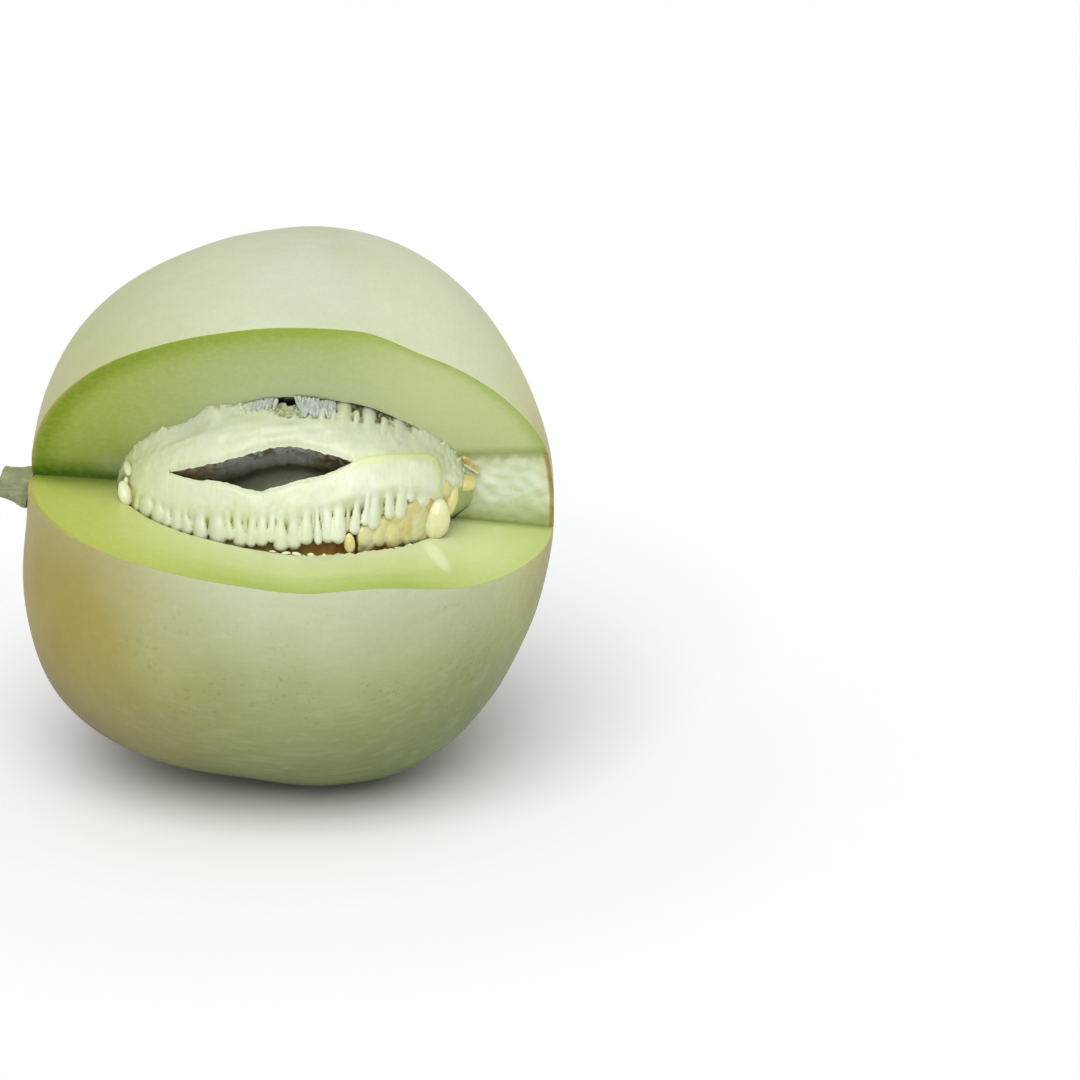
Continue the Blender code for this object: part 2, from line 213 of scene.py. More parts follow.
class Paint:
    # one material: coats of colour from a dictionary of tints, and the nodes that feed its shader
    def __init__(self, name, tints, rough=0.5, specular=0.5, subsurface=(0.0, 0.05),
                 radius=(1.0, 0.85, 0.45)):
        self.material = bpy.data.materials.new(name)
        self.material.use_nodes = True
        self.tree = self.material.node_tree
        self.shader = self.tree.nodes["Principled BSDF"]
        self.tints = tints
        self.into("Roughness", rough)
        self.into("Specular IOR Level", specular)
        self.into("Subsurface Weight", subsurface[0])
        self.into("Subsurface Scale", subsurface[1])
        self.into("Subsurface Radius", radius)
        self.where = self.node("ShaderNodeTexCoord", {}, {}, "Object")

    def node(self, kind, settings, inputs, output=0):
        made = self.tree.nodes.new(kind)
        for key, value in settings.items():
            setattr(made, key, value)
        for key, value in inputs.items():
            self.feed(made.inputs[key], value)
        return Wire(self, made.outputs[output])

    def feed(self, socket, value):
        if isinstance(value, Wire):
            self.tree.links.new(value.socket, socket)
        else:
            socket.default_value = value

    def into(self, name, value):
        self.feed(self.shader.inputs[name], value)

    def maths(self, operation, a, b):
        return self.node("ShaderNodeMath", {"operation": operation}, {0: a, 1: b})

    def value(self, name):
        return self.node("ShaderNodeAttribute", {"attribute_name": name}, {}, "Fac")

    def axis(self, letter):
        return self.node("ShaderNodeSeparateXYZ", {}, {0: self.where}, letter)

    def noise(self, size, detail=3.0, roughness=0.5, stretch=None):
        # size is about how far apart the swings are, in millimetres
        vector = self.where
        if stretch:
            vector = self.node("ShaderNodeMapping", {}, {"Vector": self.where, "Scale": stretch})
        inputs = {"Vector": vector, "Scale": 1.0 / millimetre / size, "Detail": detail}
        return self.node("ShaderNodeTexNoise", {}, {**inputs, "Roughness": roughness}, "Fac")

    def colour(self, tint):
        # a wire as it is, and a named screen tint as the linear colour that the shader takes
        if isinstance(tint, Wire):
            return tint
        return (*(round((c / 255.0) ** 2.2, 4) for c in self.tints[tint]), 1.0)

    def mix(self, factor, a, b):
        inputs = {0: factor, 6: self.colour(a), 7: self.colour(b)}
        return self.node("ShaderNodeMix", {"data_type": "RGBA"}, inputs, 2)

    def coat(self, factor, tint):
        # lays a tint over the coats before it
        self.base = self.mix(factor, self.base, tint)

    def steps(self, wire, stops):
        # a tint for each value, blended from one stop to the next
        self.base = stops[0][1]
        for (low, _), (high, tint) in zip(stops, stops[1:]):
            self.coat(wire.spread(low, high), tint)

    def done(self, height=None, distance=None):
        # the coats become the colour, and the height, if there is one, the fine relief
        self.into("Base Color", self.colour(self.base))
        if height:
            inputs = {"Height": height, "Distance": distance}
            self.into("Normal", self.node("ShaderNodeBump", {}, inputs, "Normal"))
        return self.material


# The melon: rind and flesh in one closed mesh

melon = {
    "halfLength": 75.4,
    "halfWidth": 79.3,
    "squareness": 2.09,
    "lean": 0.029,
    "swells": ((3, -0.41, -1.31), (4, -1.12, 0.58), (5, 1.22, 0.37)),  # times round, cosine and sine
    "ground": -74.5,
    "groundBlock": (120.0, 50.0),  # half its width, and its thickness
    "steps": (200, 310),
    "relief": ((0.16, 24.0, 3),),  # height, size, seed
    "stemDimple": ((-73.5, 2.0, 6.2), 1.2, 11.0),  # place, depth, width
    "tipScar": ((75.0, 0.0, 3.0), 0.7, 5.0),
}


def skinSwell(turn):
    return sum(c * np.cos(k * turn) + s * np.sin(k * turn) for k, c, s in melon["swells"])


def uncutMelon(materials):
    # a superellipsoid round X, x = -a |cos|^(2/n) and radius = b |sin|^(2/n), swelled by its turn in X and
    # Z, and leaned, with a dimple of depth e^-(distance / width)^2 at each end
    power = 2.0 / melon["squareness"]
    along = np.linspace(0.0, math.pi, melon["steps"][0])[:, None]
    around = fullTurn(melon["steps"][1])[None, :]
    x = -melon["halfLength"] * np.sign(np.cos(along)) * np.abs(np.cos(along)) ** power
    radius = melon["halfWidth"] * np.abs(np.sin(along)) ** power
    y, z = -radius * np.cos(around), radius * np.sin(around)
    x = x + 0.0 * y
    distance = np.sqrt(x * x + y * y + z * z)
    scale = 1.0 + skinSwell(np.arctan2(z, x)) * (x * x + z * z) / distance ** 3
    points = np.stack([x, y, z], axis=-1) * scale[..., None]
    points[..., 0] += melon["lean"] * points[..., 2]
    outward = points / np.linalg.norm(points, axis=-1, keepdims=True)
    change = relief(points, melon["relief"])
    for spot, depth, width in (melon["stemDimple"], melon["tipScar"]):
        away = np.linalg.norm(points - np.array(spot), axis=-1)
        change -= depth * np.exp(-(away / width) ** 2)
    points = points + outward * change[..., None]
    return makeMesh("cutMelon", [rings(points[1:-1], points[0, 0], points[-1, 0])], materials, 0)


def skinDepth(points):
    # how far below the skin a point lies, along the line to the melon's centre
    x, y, z = points[:, 0] - melon["lean"] * points[:, 2], points[:, 1], points[:, 2]
    distance = np.sqrt(x * x + y * y + z * z) + 1e-6
    n = melon["squareness"]
    along = np.abs(x / distance / melon["halfLength"]) ** n
    across = (np.hypot(y, z) / distance / melon["halfWidth"]) ** n
    swell = skinSwell(np.arctan2(z, x)) * (x * x + z * z) / distance ** 2
    return (along + across) ** (-1.0 / n) + swell - distance


wedge = {
    "upperEnds": ((-72, 0, 11.5), (74, -12.7, 21.2)),  # where each cut ends inside the melon
    "lowerEnds": ((-72, -2, 10.5), (74, -9, -2)),
    "upperAngle": 51.3,
    "upperKink": (2.9, 19.0, 39.0),  # degrees, and where it starts and ends
    "lowerAngle": -0.5,
    "lowerWave": (1.1, 60.0, 9.0),  # degrees, length and start
    "waveGrows": (-20.0, 20.0),
    "meeting": (-44.0, -34.0),
    "meetingShare": 0.97,
    "halfLength": 92.0,
    "reach": 120.0,
    "fineReach": 82.0,
    "steps": (230, 80, 34),  # along, out and up the tear
    "knifeMark": 0.05,
    "markGrows": (1.0, 6.0),
    "upperMarks": (4.0, 11, (1.0, 4.0, 4.0)),
    "lowerMarks": (4.0, 12, (1.0, 4.0, 4.0)),
    "tear": 0.8,
    "tearGrows": (2.0, 12.0),
    "tearRelief": ((1, 7, 13), (0.5, 2.4, 14, (2, 1, 1))),
}


def cutEnd(ends, x):
    # the (y, z) of a cut's inner end at x, on the straight line between its two ends
    (x0, y0, z0), (x1, y1, z1) = ends
    t = (x - x0) / (x1 - x0)
    return y0 + t * (y1 - y0), z0 + t * (z1 - z0)


def cutAngles(x):
    # the angle of each knife cut at x, in radians up from the front, the lower with a wave h sin(2 pi x / l)
    kink, kinkLow, kinkHigh = wedge["upperKink"]
    height, length, start = wedge["lowerWave"]
    upper = wedge["upperAngle"] - kink * smooth(x, kinkLow, kinkHigh)
    wave = height * np.sin(2.0 * math.pi * (x - start) / length)
    return np.radians(upper), np.radians(wedge["lowerAngle"] + wave * smooth(x, *wedge["waveGrows"]))


def innerEnds(x):
    # the (y, z) of both cuts' inner ends, which run on at the left, by height / sin(upper - lower), to meet
    upper, lower = cutAngles(x)
    uy, uz = cutEnd(wedge["upperEnds"], x)
    ly, lz = cutEnd(wedge["lowerEnds"], x)
    height = (uy - ly) * np.sin(lower) + (uz - lz) * np.cos(lower)
    further = height / np.sin(upper - lower)
    my, mz = uy + further * np.cos(upper), uz - further * np.sin(upper)
    share = wedge["meetingShare"] * fall(x, *wedge["meeting"])
    uy, uz = uy + share * (my - uy), uz + share * (mz - uz)
    return uy, uz, ly + share * (my - ly), lz + share * (mz - lz)


def cutHeights(points):
    # how far a point lies above the lower cut and below the upper one
    x, y, z = points[..., 0], points[..., 1], points[..., 2]
    upper, lower = cutAngles(x)
    uy, uz, ly, lz = innerEnds(x)
    above = (y - ly) * np.sin(lower) + (z - lz) * np.cos(lower)
    below = -(y - uy) * np.sin(upper) - (z - uz) * np.cos(upper)
    return above, below


def wedgeCutter(materials):
    # at each x: out along the upper cut, back in along the lower cut, and up the tear between their ends
    rows, faceSteps, tearSteps = wedge["steps"]
    x = np.linspace(-wedge["halfLength"], wedge["halfLength"], rows)[:, None]
    upper, lower = cutAngles(x)
    uy, uz, ly, lz = innerEnds(x)
    out = np.append(np.linspace(0.0, wedge["fineReach"], faceSteps), wedge["reach"])[None, :]
    same = 0.0 * out
    upperFace = np.stack([x + same, uy - out * np.cos(upper), uz + out * np.sin(upper)], axis=-1)
    lowerFace = np.stack([x + same, ly - out * np.cos(lower), lz + out * np.sin(lower)], axis=-1)
    rise = np.linspace(0.0, 1.0, tearSteps + 2)[None, 1:-1]
    tear = np.stack([x + 0.0 * rise, ly + rise * (uy - ly), lz + rise * (uz - lz)], axis=-1)
    mark = wedge["knifeMark"] * smooth(out, *wedge["markGrows"])
    upperFace[..., 2] += mark * ripple(upperFace, *wedge["upperMarks"])
    lowerFace[..., 2] += mark * ripple(lowerFace, *wedge["lowerMarks"])
    rough = wedge["tear"] * relief(tear, wedge["tearRelief"])
    grown = smooth(np.hypot(uy - ly, uz - lz), *wedge["tearGrows"])
    tear[..., 1] += rough * grown * np.sin(math.pi * rise)
    stack = np.concatenate([upperFace, lowerFace[:, ::-1], tear], axis=1)
    middles = stack[[0, -1]].mean(axis=1)
    column = np.where(np.arange(stack.shape[1]) >= 2 * out.shape[1] - 1, 2, 1)
    ends = np.ones(stack.shape[1])
    numbers = np.concatenate([ends, np.tile(column, rows - 1), ends])
    return makeMesh("wedgeCutter", [rings(stack, middles[0], middles[1])], materials, numbers)


cavity = {
    "centre": (2.0, 0.0, -1.7),
    "halfLength": 51.0,
    "radius": 49.7,
    "shortRight": (0.137, 8.0, 46.0),  # share, and the angles it fades between
    "dent": ((-42, 0), (-36, 0.6), (-33, 1.9), (-30, 3.6), (-27.5, 4.2), (-25, 3.2), (-21, 1.5),
             (-15, 1.2), (-9, 0.8), (-5, 0)),
    "dentAngles": (50.0, 57.0),
    "dentTop": (80.0, 95.0),
    "xs": ((-48.5, -20, 60), (-20, 50.5, 190), (50.5, 52.5, 5)),
    "angles": ((-10, 0, 6), (0, 16, 30), (16, 46, 24), (46, 78, 50), (78, 350, 26)),
    "roughness": 0.22,
    "relief": ((1, 9, 21), (0.8, 2.6, 22)),
    "tornEdge": 0.9,
    "tornRelief": ((1.0, 1.7, 23),),
    "tornXs": ((-6, 2), (33, 38)),
    "tornAngle": (5.0, 3.0, 8.0),
}


def rightShortening(angle):
    # low down at the right the cavity ends sooner
    share, low, high = cavity["shortRight"]
    return 1.0 - share * fall(angle, low, high) * (angle > -90.0)


def wallDent(x, angle):
    # the flesh bulges in at the upper left
    dent = curve(x, cavity["dent"]) * smooth(angle, *cavity["dentAngles"])
    return dent * fall(angle, *cavity["dentTop"])


def wallRadius(x, angle):
    # an ellipse along X, with its right half shortened, less the dent
    along = x - cavity["centre"][0]
    half = cavity["halfLength"] * np.where(along > 0.0, rightShortening(angle), 1.0)
    t = np.clip(along / half, -1.0, 1.0)
    return cavity["radius"] * np.sqrt(1.0 - t * t) - wallDent(x, angle)


def aroundAxis(x, radius, angle):
    # the point at x, radius away from the cavity's axis, at an angle in degrees up from the front
    turn = np.radians(angle)
    _, y, z = cavity["centre"]
    return np.stack([x, y - radius * np.cos(turn), z + radius * np.sin(turn)], axis=-1)


def wallPoint(x, angle, depth=0.0):
    # the point at x and at an angle, depth inside the cavity's wall
    x, angle, depth = np.broadcast_arrays(np.asarray(x, float), np.asarray(angle, float), depth)
    return aroundAxis(x, wallRadius(x, angle) - depth, angle)


def wallAngle(points):
    _, y, z = cavity["centre"]
    return np.degrees(np.arctan2(points[..., 2] - z, y - points[..., 1]))


def axisDistance(points):
    _, y, z = cavity["centre"]
    return np.hypot(points[..., 1] - y, points[..., 2] - z)


def pushOut(points, distance):
    # moves points straight away from the cavity's axis
    turn = np.radians(wallAngle(points))
    outward = np.stack([0.0 * turn, -np.cos(turn), np.sin(turn)], axis=-1)
    return points + outward * np.asarray(distance)[..., None]


def wallGrid(xs, angles):
    # rings on the cavity's wall, which draw together to one point at each end of its axis
    middle, y, z = cavity["centre"]
    half = cavity["halfLength"]
    t = (np.asarray(xs)[:, None] - middle) / half
    ring = cavity["radius"] * np.sqrt(1.0 - t * t)
    angle = (np.asarray(angles)[None, :] + 180.0) % 360.0 - 180.0
    shorter = 1.0 - (1.0 - rightShortening(angle)) * smooth(ring, 0.0, 10.0) * (t > 0.0)
    x = middle + t * half * shorter
    stack = aroundAxis(x, ring - wallDent(x, angle), angle)
    return stack, np.array([middle - half, y, z]), np.array([middle + half, y, z])


def spacing(*spans):
    # the joined places of several even spans, each (low, high, count)
    return np.concatenate([np.linspace(low, high, count, endpoint=False) for low, high, count in spans])


def cavityCutter(materials):
    # the wall's grid, roughened a little, and torn along the front edge where the seeds came away
    stack, first, last = wallGrid(spacing(*cavity["xs"]), spacing(*cavity["angles"]))
    angle, x = wallAngle(stack), stack[..., 0]
    rough = cavity["roughness"] * relief(stack, cavity["relief"])
    start, end = cavity["tornXs"]
    middle, near, far = cavity["tornAngle"]
    torn = smooth(x, *start) * fall(x, *end) * fall(np.abs(angle - middle), near, far)
    rough = rough + cavity["tornEdge"] * torn * relief(stack, cavity["tornRelief"], 0.2)
    stack = pushOut(stack, rough * smooth(axisDistance(stack), 4.0, 14.0))
    return makeMesh("cavityCutter", [rings(stack, first, last)], materials, 3)


def groundCutter(materials):
    half, thickness = melon["groundBlock"]
    top, bottom = melon["ground"], melon["ground"] - thickness
    square = np.array([(-half, -half), (half, -half), (half, half), (-half, half)])
    stack = np.stack([np.column_stack([square, np.full(4, z)]) for z in (bottom, top)])
    return makeMesh("groundCutter", [rings(stack, (0.0, 0.0, bottom), (0.0, 0.0, top))], materials, 0)


skinTints = {
    "pale": (196, 204, 176), "mist": (186, 196, 160), "low": (154, 163, 108), "lowRight": (156, 172, 102),
    "shoulder": (212, 216, 180), "tan": (150, 134, 54), "tanTop": (176, 172, 108), "tip": (204, 194, 112),
    "tipBrown": (140, 130, 62), "underGreen": (108, 106, 54), "underBrown": (88, 76, 34),
    "underRight": (88, 108, 58), "freckle": (122, 118, 62), "streak": (224, 226, 204),
    "grain": (140, 150, 100),
}


def skinPaint():
    paint = Paint("melonSkin", skinTints, specular=0.35, subsurface=(0.08, 0.003))
    x, z = paint.axis("X"), paint.axis("Z")
    clouds = paint.noise(50.0, 3.0, 0.5)
    patches = paint.noise(14.0, 4.0, 0.6)
    streaks = paint.noise(2.6, 4.0, 0.6, (0.30, 1.0, 1.0))
    grain = paint.noise(1.0, 3.0, 0.6)
    lower = (z + clouds * 0.04).spread(0.115, 0.060)
    right = (x - z * 0.7).spread(-0.030, 0.050)
    left = (x + clouds * 0.05 + patches * 0.004).spread(0.030, -0.040)
    paint.base = "pale"
    paint.coat((clouds + patches * 0.5).spread(0.60, 0.95), "mist")
    # painted shade: the lower skin is coloured darker, as the light falls from above
    paint.coat(lower, "low")
    paint.coat(right * lower * 0.5, "lowRight")
    paint.coat(x.spread(0.015, 0.045) * z.spread(0.095, 0.125) * 0.6, "shoulder")
    paint.coat(left * z.spread(0.150, 0.060), "tan")
    paint.coat(left * z.spread(0.080, 0.135) * 0.6, "tanTop")
    paint.coat(x.spread(0.050, 0.078) * 0.6, "tip")
    brown = (x + patches * 0.006).spread(0.066, 0.080) * (z + clouds * 0.04).spread(0.140, 0.095)
    paint.coat(brown * 0.6, "tipBrown")
    # painted shade near the floor: darker green, and browner where the skin is tan
    under = (z + clouds * 0.02).spread(0.070, 0.018) * (0.5 + left * 0.4)
    paint.coat(under, paint.mix(left, "underGreen", "underBrown"))
    # painted shadow: the lower right darker green, as in the shade of fruit beside it
    paint.coat((z - x * 0.5).spread(0.045, -0.005) * 0.7, "underRight")
    freckles = paint.noise(1.3, 2.0, 0.5).spread(0.58, 0.70) * patches.spread(0.42, 0.58)
    paint.coat(freckles * lower * 0.45, "freckle")
    paint.coat(streaks.spread(0.40, 0.75) * (0.09 - left * 0.07), "streak")
    paint.coat(grain.spread(0.35, 0.75) * 0.08, "grain")
    paint.into("Roughness", 0.40 + patches * 0.2)
    return paint.done(grain * 0.5 + streaks * 0.4, 0.00005)


fleshTints = {
    "rim": (156, 180, 74), "outer": (174, 192, 104), "middle": (194, 206, 138), "inner": (206, 214, 170),
    "roof": (180, 196, 148), "leftFloor": (192, 196, 100), "leftRoof": (164, 180, 84),
    "leftRim": (122, 146, 28), "paleRoof": (214, 222, 174), "paleFloor": (222, 230, 170),
    "stemEdge": (170, 156, 84), "valley": (90, 126, 8), "bulge": (196, 206, 176),
    "tornEnd": (128, 144, 66), "streak": (236, 242, 206), "knifeEdge": (170, 172, 96),
    "fibre": (240, 242, 208),
}


def fleshPaint():
    paint = Paint("cutFlesh", fleshTints, specular=0.30, subsurface=(0.15, 0.004))
    x, y = paint.axis("X"), paint.axis("Y")
    depth, inner, upper = paint.value("skinDepth"), paint.value("inner"), paint.value("upper")
    clouds = paint.noise(26.0, 3.0, 0.5)
    fibres = paint.noise(1.6, 3.0, 0.6)
    left = x.spread(0.006, -0.058)
    stops = ((1.0, "rim"), (8.0, "outer"), (17.0, "middle"), (30.0, "inner"))
    paint.steps(depth + clouds * 9.0 - 4.5, stops)
    # painted shade: the upper cut, which faces down, greyer and darker than the lower cut, at the left as
    # well
    paint.coat(upper * depth.spread(3.0, 14.0) * 0.6, "roof")
    paint.coat(left * 0.80, paint.mix(upper, "leftFloor", "leftRoof"))
    paint.coat(depth.spread(10.0, 1.5) * left * upper * 0.85, "leftRim")
    paint.coat(x.spread(0.012, 0.045) * depth.spread(-2.0, 5.0) * upper * 0.7, "paleRoof")
    paint.coat((1.0 - upper) * x.spread(0.030, 0.060) * 0.4, "paleFloor")
    paint.coat(depth.spread(2.0, 0.3) * x.spread(-0.044, -0.062) * 0.8, "stemEdge")
    # painted shade: deep green in the valley where the cuts meet at the left
    paint.coat(paint.value("valley") * (upper * 0.45 + 0.45), "valley")
    # pale translucent flesh near the pulp at the upper left, lightened further as a painted highlight
    bulge = x.spread(-0.054, -0.045) * x.spread(-0.030, -0.040) * inner.spread(1.0, 5.0)
    paint.coat(bulge * inner.spread(16.0, 8.0) * upper * 0.45, "bulge")
    # painted shade: olive where the cut flesh meets the tear at the right end
    paint.coat(inner.spread(5.0, 0.0) * x.spread(0.035, 0.045) * 0.6, "tornEnd")
    # a pale streak on the lower cut, (x / 3)^2 + (y / 14)^2 < 1 in millimetres round its middle
    across, along = (x - 0.0436 + (y + 0.042) * 0.2) / 0.0030, (y + 0.042) / 0.014
    streak = (across * across + along * along).spread(1.0, 0.1) * (1.0 - upper)
    paint.coat(streak * 0.55, "streak")
    paint.coat(depth.spread(0.5, 0.1), "knifeEdge")
    paint.coat(fibres.spread(0.40, 0.70) * 0.08, "fibre")
    paint.into("Roughness", 0.26 + fibres * 0.18)
    return paint.done(fibres, 0.00006)


tearTints = {
    "pale": (236, 241, 228), "cloud": (218, 227, 198), "stripe": (206, 218, 176),
    "grain": (240, 244, 232), "nearCuts": (176, 190, 124), "nearRind": (190, 186, 122),
    "low": (166, 180, 118), "seam": (138, 150, 76), "rind": (150, 134, 76), "valley": (78, 112, 6),
}


def tearPaint():
    paint = Paint("tornFlesh", tearTints, rough=0.42, subsurface=(0.15, 0.004))
    depth, seam = paint.value("skinDepth"), paint.value("seam")
    grain = paint.noise(1.3, 4.0, 0.65, (0.5, 1.0, 1.0))
    clouds = paint.noise(9.0, 4.0, 0.55, (0.7, 1.0, 1.0))
    stripes = paint.noise(2.6, 3.0, 0.6, (1.0, 1.0, 0.3))
    paint.base = "pale"
    paint.coat(clouds.spread(0.36, 0.66), "cloud")
    paint.coat(stripes.spread(0.46, 0.66) * 0.22, "stripe")
    paint.coat(grain.spread(0.45, 0.70) * 0.2, "grain")
    paint.coat((seam + clouds * 4.0).spread(6.5, 1.5) * 0.5, "nearCuts")
    paint.coat((depth + clouds * 6.0).spread(10.0, 4.0) * 0.45, "nearRind")
    # painted shade on the lower part of the torn face
    paint.coat(paint.axis("Z").spread(0.084, 0.075) * 0.8, "low")
    # painted shade: a dark olive line in the creases where the tear meets the cuts
    paint.coat(seam.spread(1.4, 0.2) * 0.6, "seam")
    paint.coat(depth.spread(1.7, 0.7), "rind")
    # painted shade: the torn face at the left end deep green, as the valley it lies in
    paint.coat(paint.axis("X").spread(-0.024, -0.034), "valley")
    return paint.done(grain + clouds, 0.00015)


wallTints = {
    "pale": (228, 230, 176), "amber": (158, 116, 40), "thread": (206, 196, 130), "dark": (70, 54, 28),
    "olive": (116, 98, 46),
}


def wallPaint():
    paint = Paint("cavityWall", wallTints, rough=0.3, subsurface=(0.1, 0.002))
    x, z = paint.axis("X"), paint.axis("Z")
    threads = paint.noise(1.3, 4.0, 0.65, (1.0, 0.4, 0.4))
    paint.base = "pale"
    paint.coat(z.spread(0.096, 0.082) * x.spread(-0.024, 0.004), "amber")
    paint.coat(threads.spread(0.45, 0.70) * 0.4, "thread")
    # painted shade: the wall under the upper cut, seen through the gap, dark brown and olive as in a hollow
    under = z.spread(0.100, 0.106) * x.spread(-0.006, -0.002) * x.spread(0.044, 0.034)
    paint.coat(under * 0.9, paint.mix(threads.spread(0.40, 0.65), "dark", "olive"))
    return paint.done(threads, 0.0004)


def makeMelon():
    materials = [skinPaint(), fleshPaint(), tearPaint(), wallPaint()]
    cutters = [wedgeCutter(materials), cavityCutter(materials), groundCutter(materials)]
    body = carve(uncutMelon(materials), cutters)
    points = meshPoints(body.data)
    x, y, z = points.T
    above, below = (np.abs(height) for height in cutHeights(points))
    uy, uz, ly, lz = innerEnds(x)
    inner = np.minimum(np.hypot(y - ly, z - lz), np.hypot(y - uy, z - uz))
    setValues(body, skinDepth=skinDepth(points), inner=inner, upper=smooth(above - below, -1.0, 1.0),
              valley=fall(inner, 0.5, 11.0) * fall(x, -50.0, -30.0),
              seam=np.minimum(above, below) + 0.4 * ripple(points, 3.0, 25))
    finish(body, "melon_body")


# The stem stub

stub = {
    "root": (-73.5, 2.0, 6.2),
    "tip": (-80.6, 2.6, 7.8),
    "radius": 6.0,
    "profile": ((-0.45, 0.99), (0, 1), (0.10, 0.95), (0.25, 0.87), (0.5, 0.79), (0.8, 0.75), (1, 0.73)),
    "ribs": ((5, 0.045, 0), (13, 0.012, 1)),
    "steps": (60, 96),
    "sunk": 0.2,
    "roundEdge": 0.06,
    "endHollow": 0.05,
    "endRings": (0.12, 0.3, 0.55, 0.8),
    "relief": ((0.02, 2.5, 31),),
    "tints": {"grey": (140, 148, 112), "olive": (122, 131, 92), "dry": (160, 150, 108)},
}


def stubPaint():
    paint = Paint("stemSkin", stub["tints"], rough=0.6, specular=0.3)
    streaks = paint.noise(1.1, 4.0, 0.6, (0.18, 1.0, 1.0))
    paint.base = "grey"
    paint.coat(streaks.spread(0.35, 0.65), "olive")
    paint.coat(paint.noise(5.0, 2.0, 0.5).spread(0.45, 0.70) * 0.5, "dry")
    return paint.done(streaks, 0.0003)


def makeStub():
    # rings along a short line, each radius taken from the profile, with soft ribs and a slightly hollow end
    root, tip = np.array(stub["root"]), np.array(stub["tip"])
    axis = tip - root
    side = np.cross(axis, (0.0, 0.0, 1.0))
    side /= np.linalg.norm(side)
    other = np.cross(axis / np.linalg.norm(axis), side)
    step = np.linspace(-stub["sunk"], 1.0, stub["steps"][0])
    edge = np.clip((step - 1.0 + stub["roundEdge"]) / stub["roundEdge"], 0.0, 0.93)
    width = curve(step, stub["profile"]) * (0.8 + 0.2 * np.sqrt(1.0 - edge ** 2))
    turns = fullTurn(stub["steps"][1])[None, :]
    ribs = 1.0 + sum(height * np.cos(count * turns + phase) for count, height, phase in stub["ribs"])
    radius = stub["radius"] * width[:, None] * ribs
    circle = np.cos(turns)[..., None] * side + np.sin(turns)[..., None] * other
    stack = root + axis * step[:, None, None] + radius[..., None] * circle
    hollow = axis * stub["endHollow"]
    end = [stack[-1] * (1.0 - t) + (tip - hollow * math.sin(1.5 * t)) * t for t in stub["endRings"]]
    stack = np.concatenate([stack, np.stack(end)])
    stack = stack + (stack - (root + axis * 0.5)) * relief(stack, stub["relief"])[..., None]
    parts = [rings(stack, root - axis * stub["sunk"], tip - hollow)]
    finish(makeMesh("stemStub", parts, [stubPaint()]), "stem")


# The pulp: the cavity's wall, pushed inwards by a depth made of lips, a lobe, a groove, fingers and a gap

pulp = {
    "xs": ((-48.6, -46, 8), (-46, 50, 344), (50, 52.6, 9)),  # the grid's spans: low, high, count
    "angles": ((-12, 0, 6), (0, 26, 74), (26, 46, 38), (46, 70, 70), (70, 112, 24),
               (112, 348, 20)),
    "hidden": 0.9,
    "lip": ((12, 1.1), (28, 1.2), (40, 1.8), (52, 1.6)),
    "relief": ((0.30, 11, 41), (0.06, 2.8, 42)),
    "bandAngles": (40.0, 46.0),
    "bandRise": 0.5,
    "bandFolds": (0.26, 3.2, 43, (5.0, 1.0, 1.0)),
    "bandTop": ((-26, 68), (-19.5, 60.5), (-18.4, 56.2), (-10.3, 53.3), (-1.4, 50.9), (5.9, 49.8),
                (12.1, 50.4), (18, 51.3), (24, 52.4), (30, 54.6), (36, 58.4), (40, 66)),
    "hangFolds": (0.26, 2.6, 49, (1.0, 5.0, 5.0)),
    "grooveHeight": ((-44, 5), (-38, 6.5), (-28, 8), (-20, 9.5), (-10, 11.5), (5, 14), (20, 16),
                     (30, 17.5), (38, 16), (44, 11)),
    "grooveDepth": ((-46, 1), (-34, 1.9), (-24, 2.4), (-10, 3.2), (10, 4.2), (30, 4.4), (42, 2.8),
                    (45.5, 0), (48, -0.6)),
    "lobeTop": ((10, 33), (17.1, 36.5), (20.9, 39.4), (27, 41.8), (32.6, 45.1), (38.3, 49.5), (50, 56)),
    "lobeEnd": 42.6,
    "lobeFrom": (8.0, 19.0),
    "lobeRise": 1.9,
    "gapDepth": ((-22, -1.4), (-12, -1.2), (-7, -0.5), (-3, 0.6), (8, 0.6), (13, 0.3), (18, 0.3),
                 (26, 0.3), (31, -0.2), (36, -1.3)),
    "gapWave": (0.6, 2.2, 44),
    "gapRelief": ((0.5, 2, 45), (0.4, 1.1, 46)),
    "holeDepth": 5.4,
    "holes": ((-2.2, 61, 2.4), (0.9, 60.6, 2.5), (3.9, 59, 1.4), (11.6, 55.5, 1.6), (-9.2, 60.5, 0.8),
              (17.8, 59, 0.9), (26.4, 59, 1)),
    "edgeLevel": -0.7,
    "edgeRelief": ((0.45, 2.4, 47), (0.25, 1, 50)),
    "hump": (-19.2, 5.6, 2.4, 1.9),  # x, width to the left, width to the right, height
    "leftDip": 1.1,
    "tailLevel": -1.4,
    "tailRelief": ((0.5, 2.2, 48),),
    "slitLip": (1.1, 2.6),  # depth, width
}

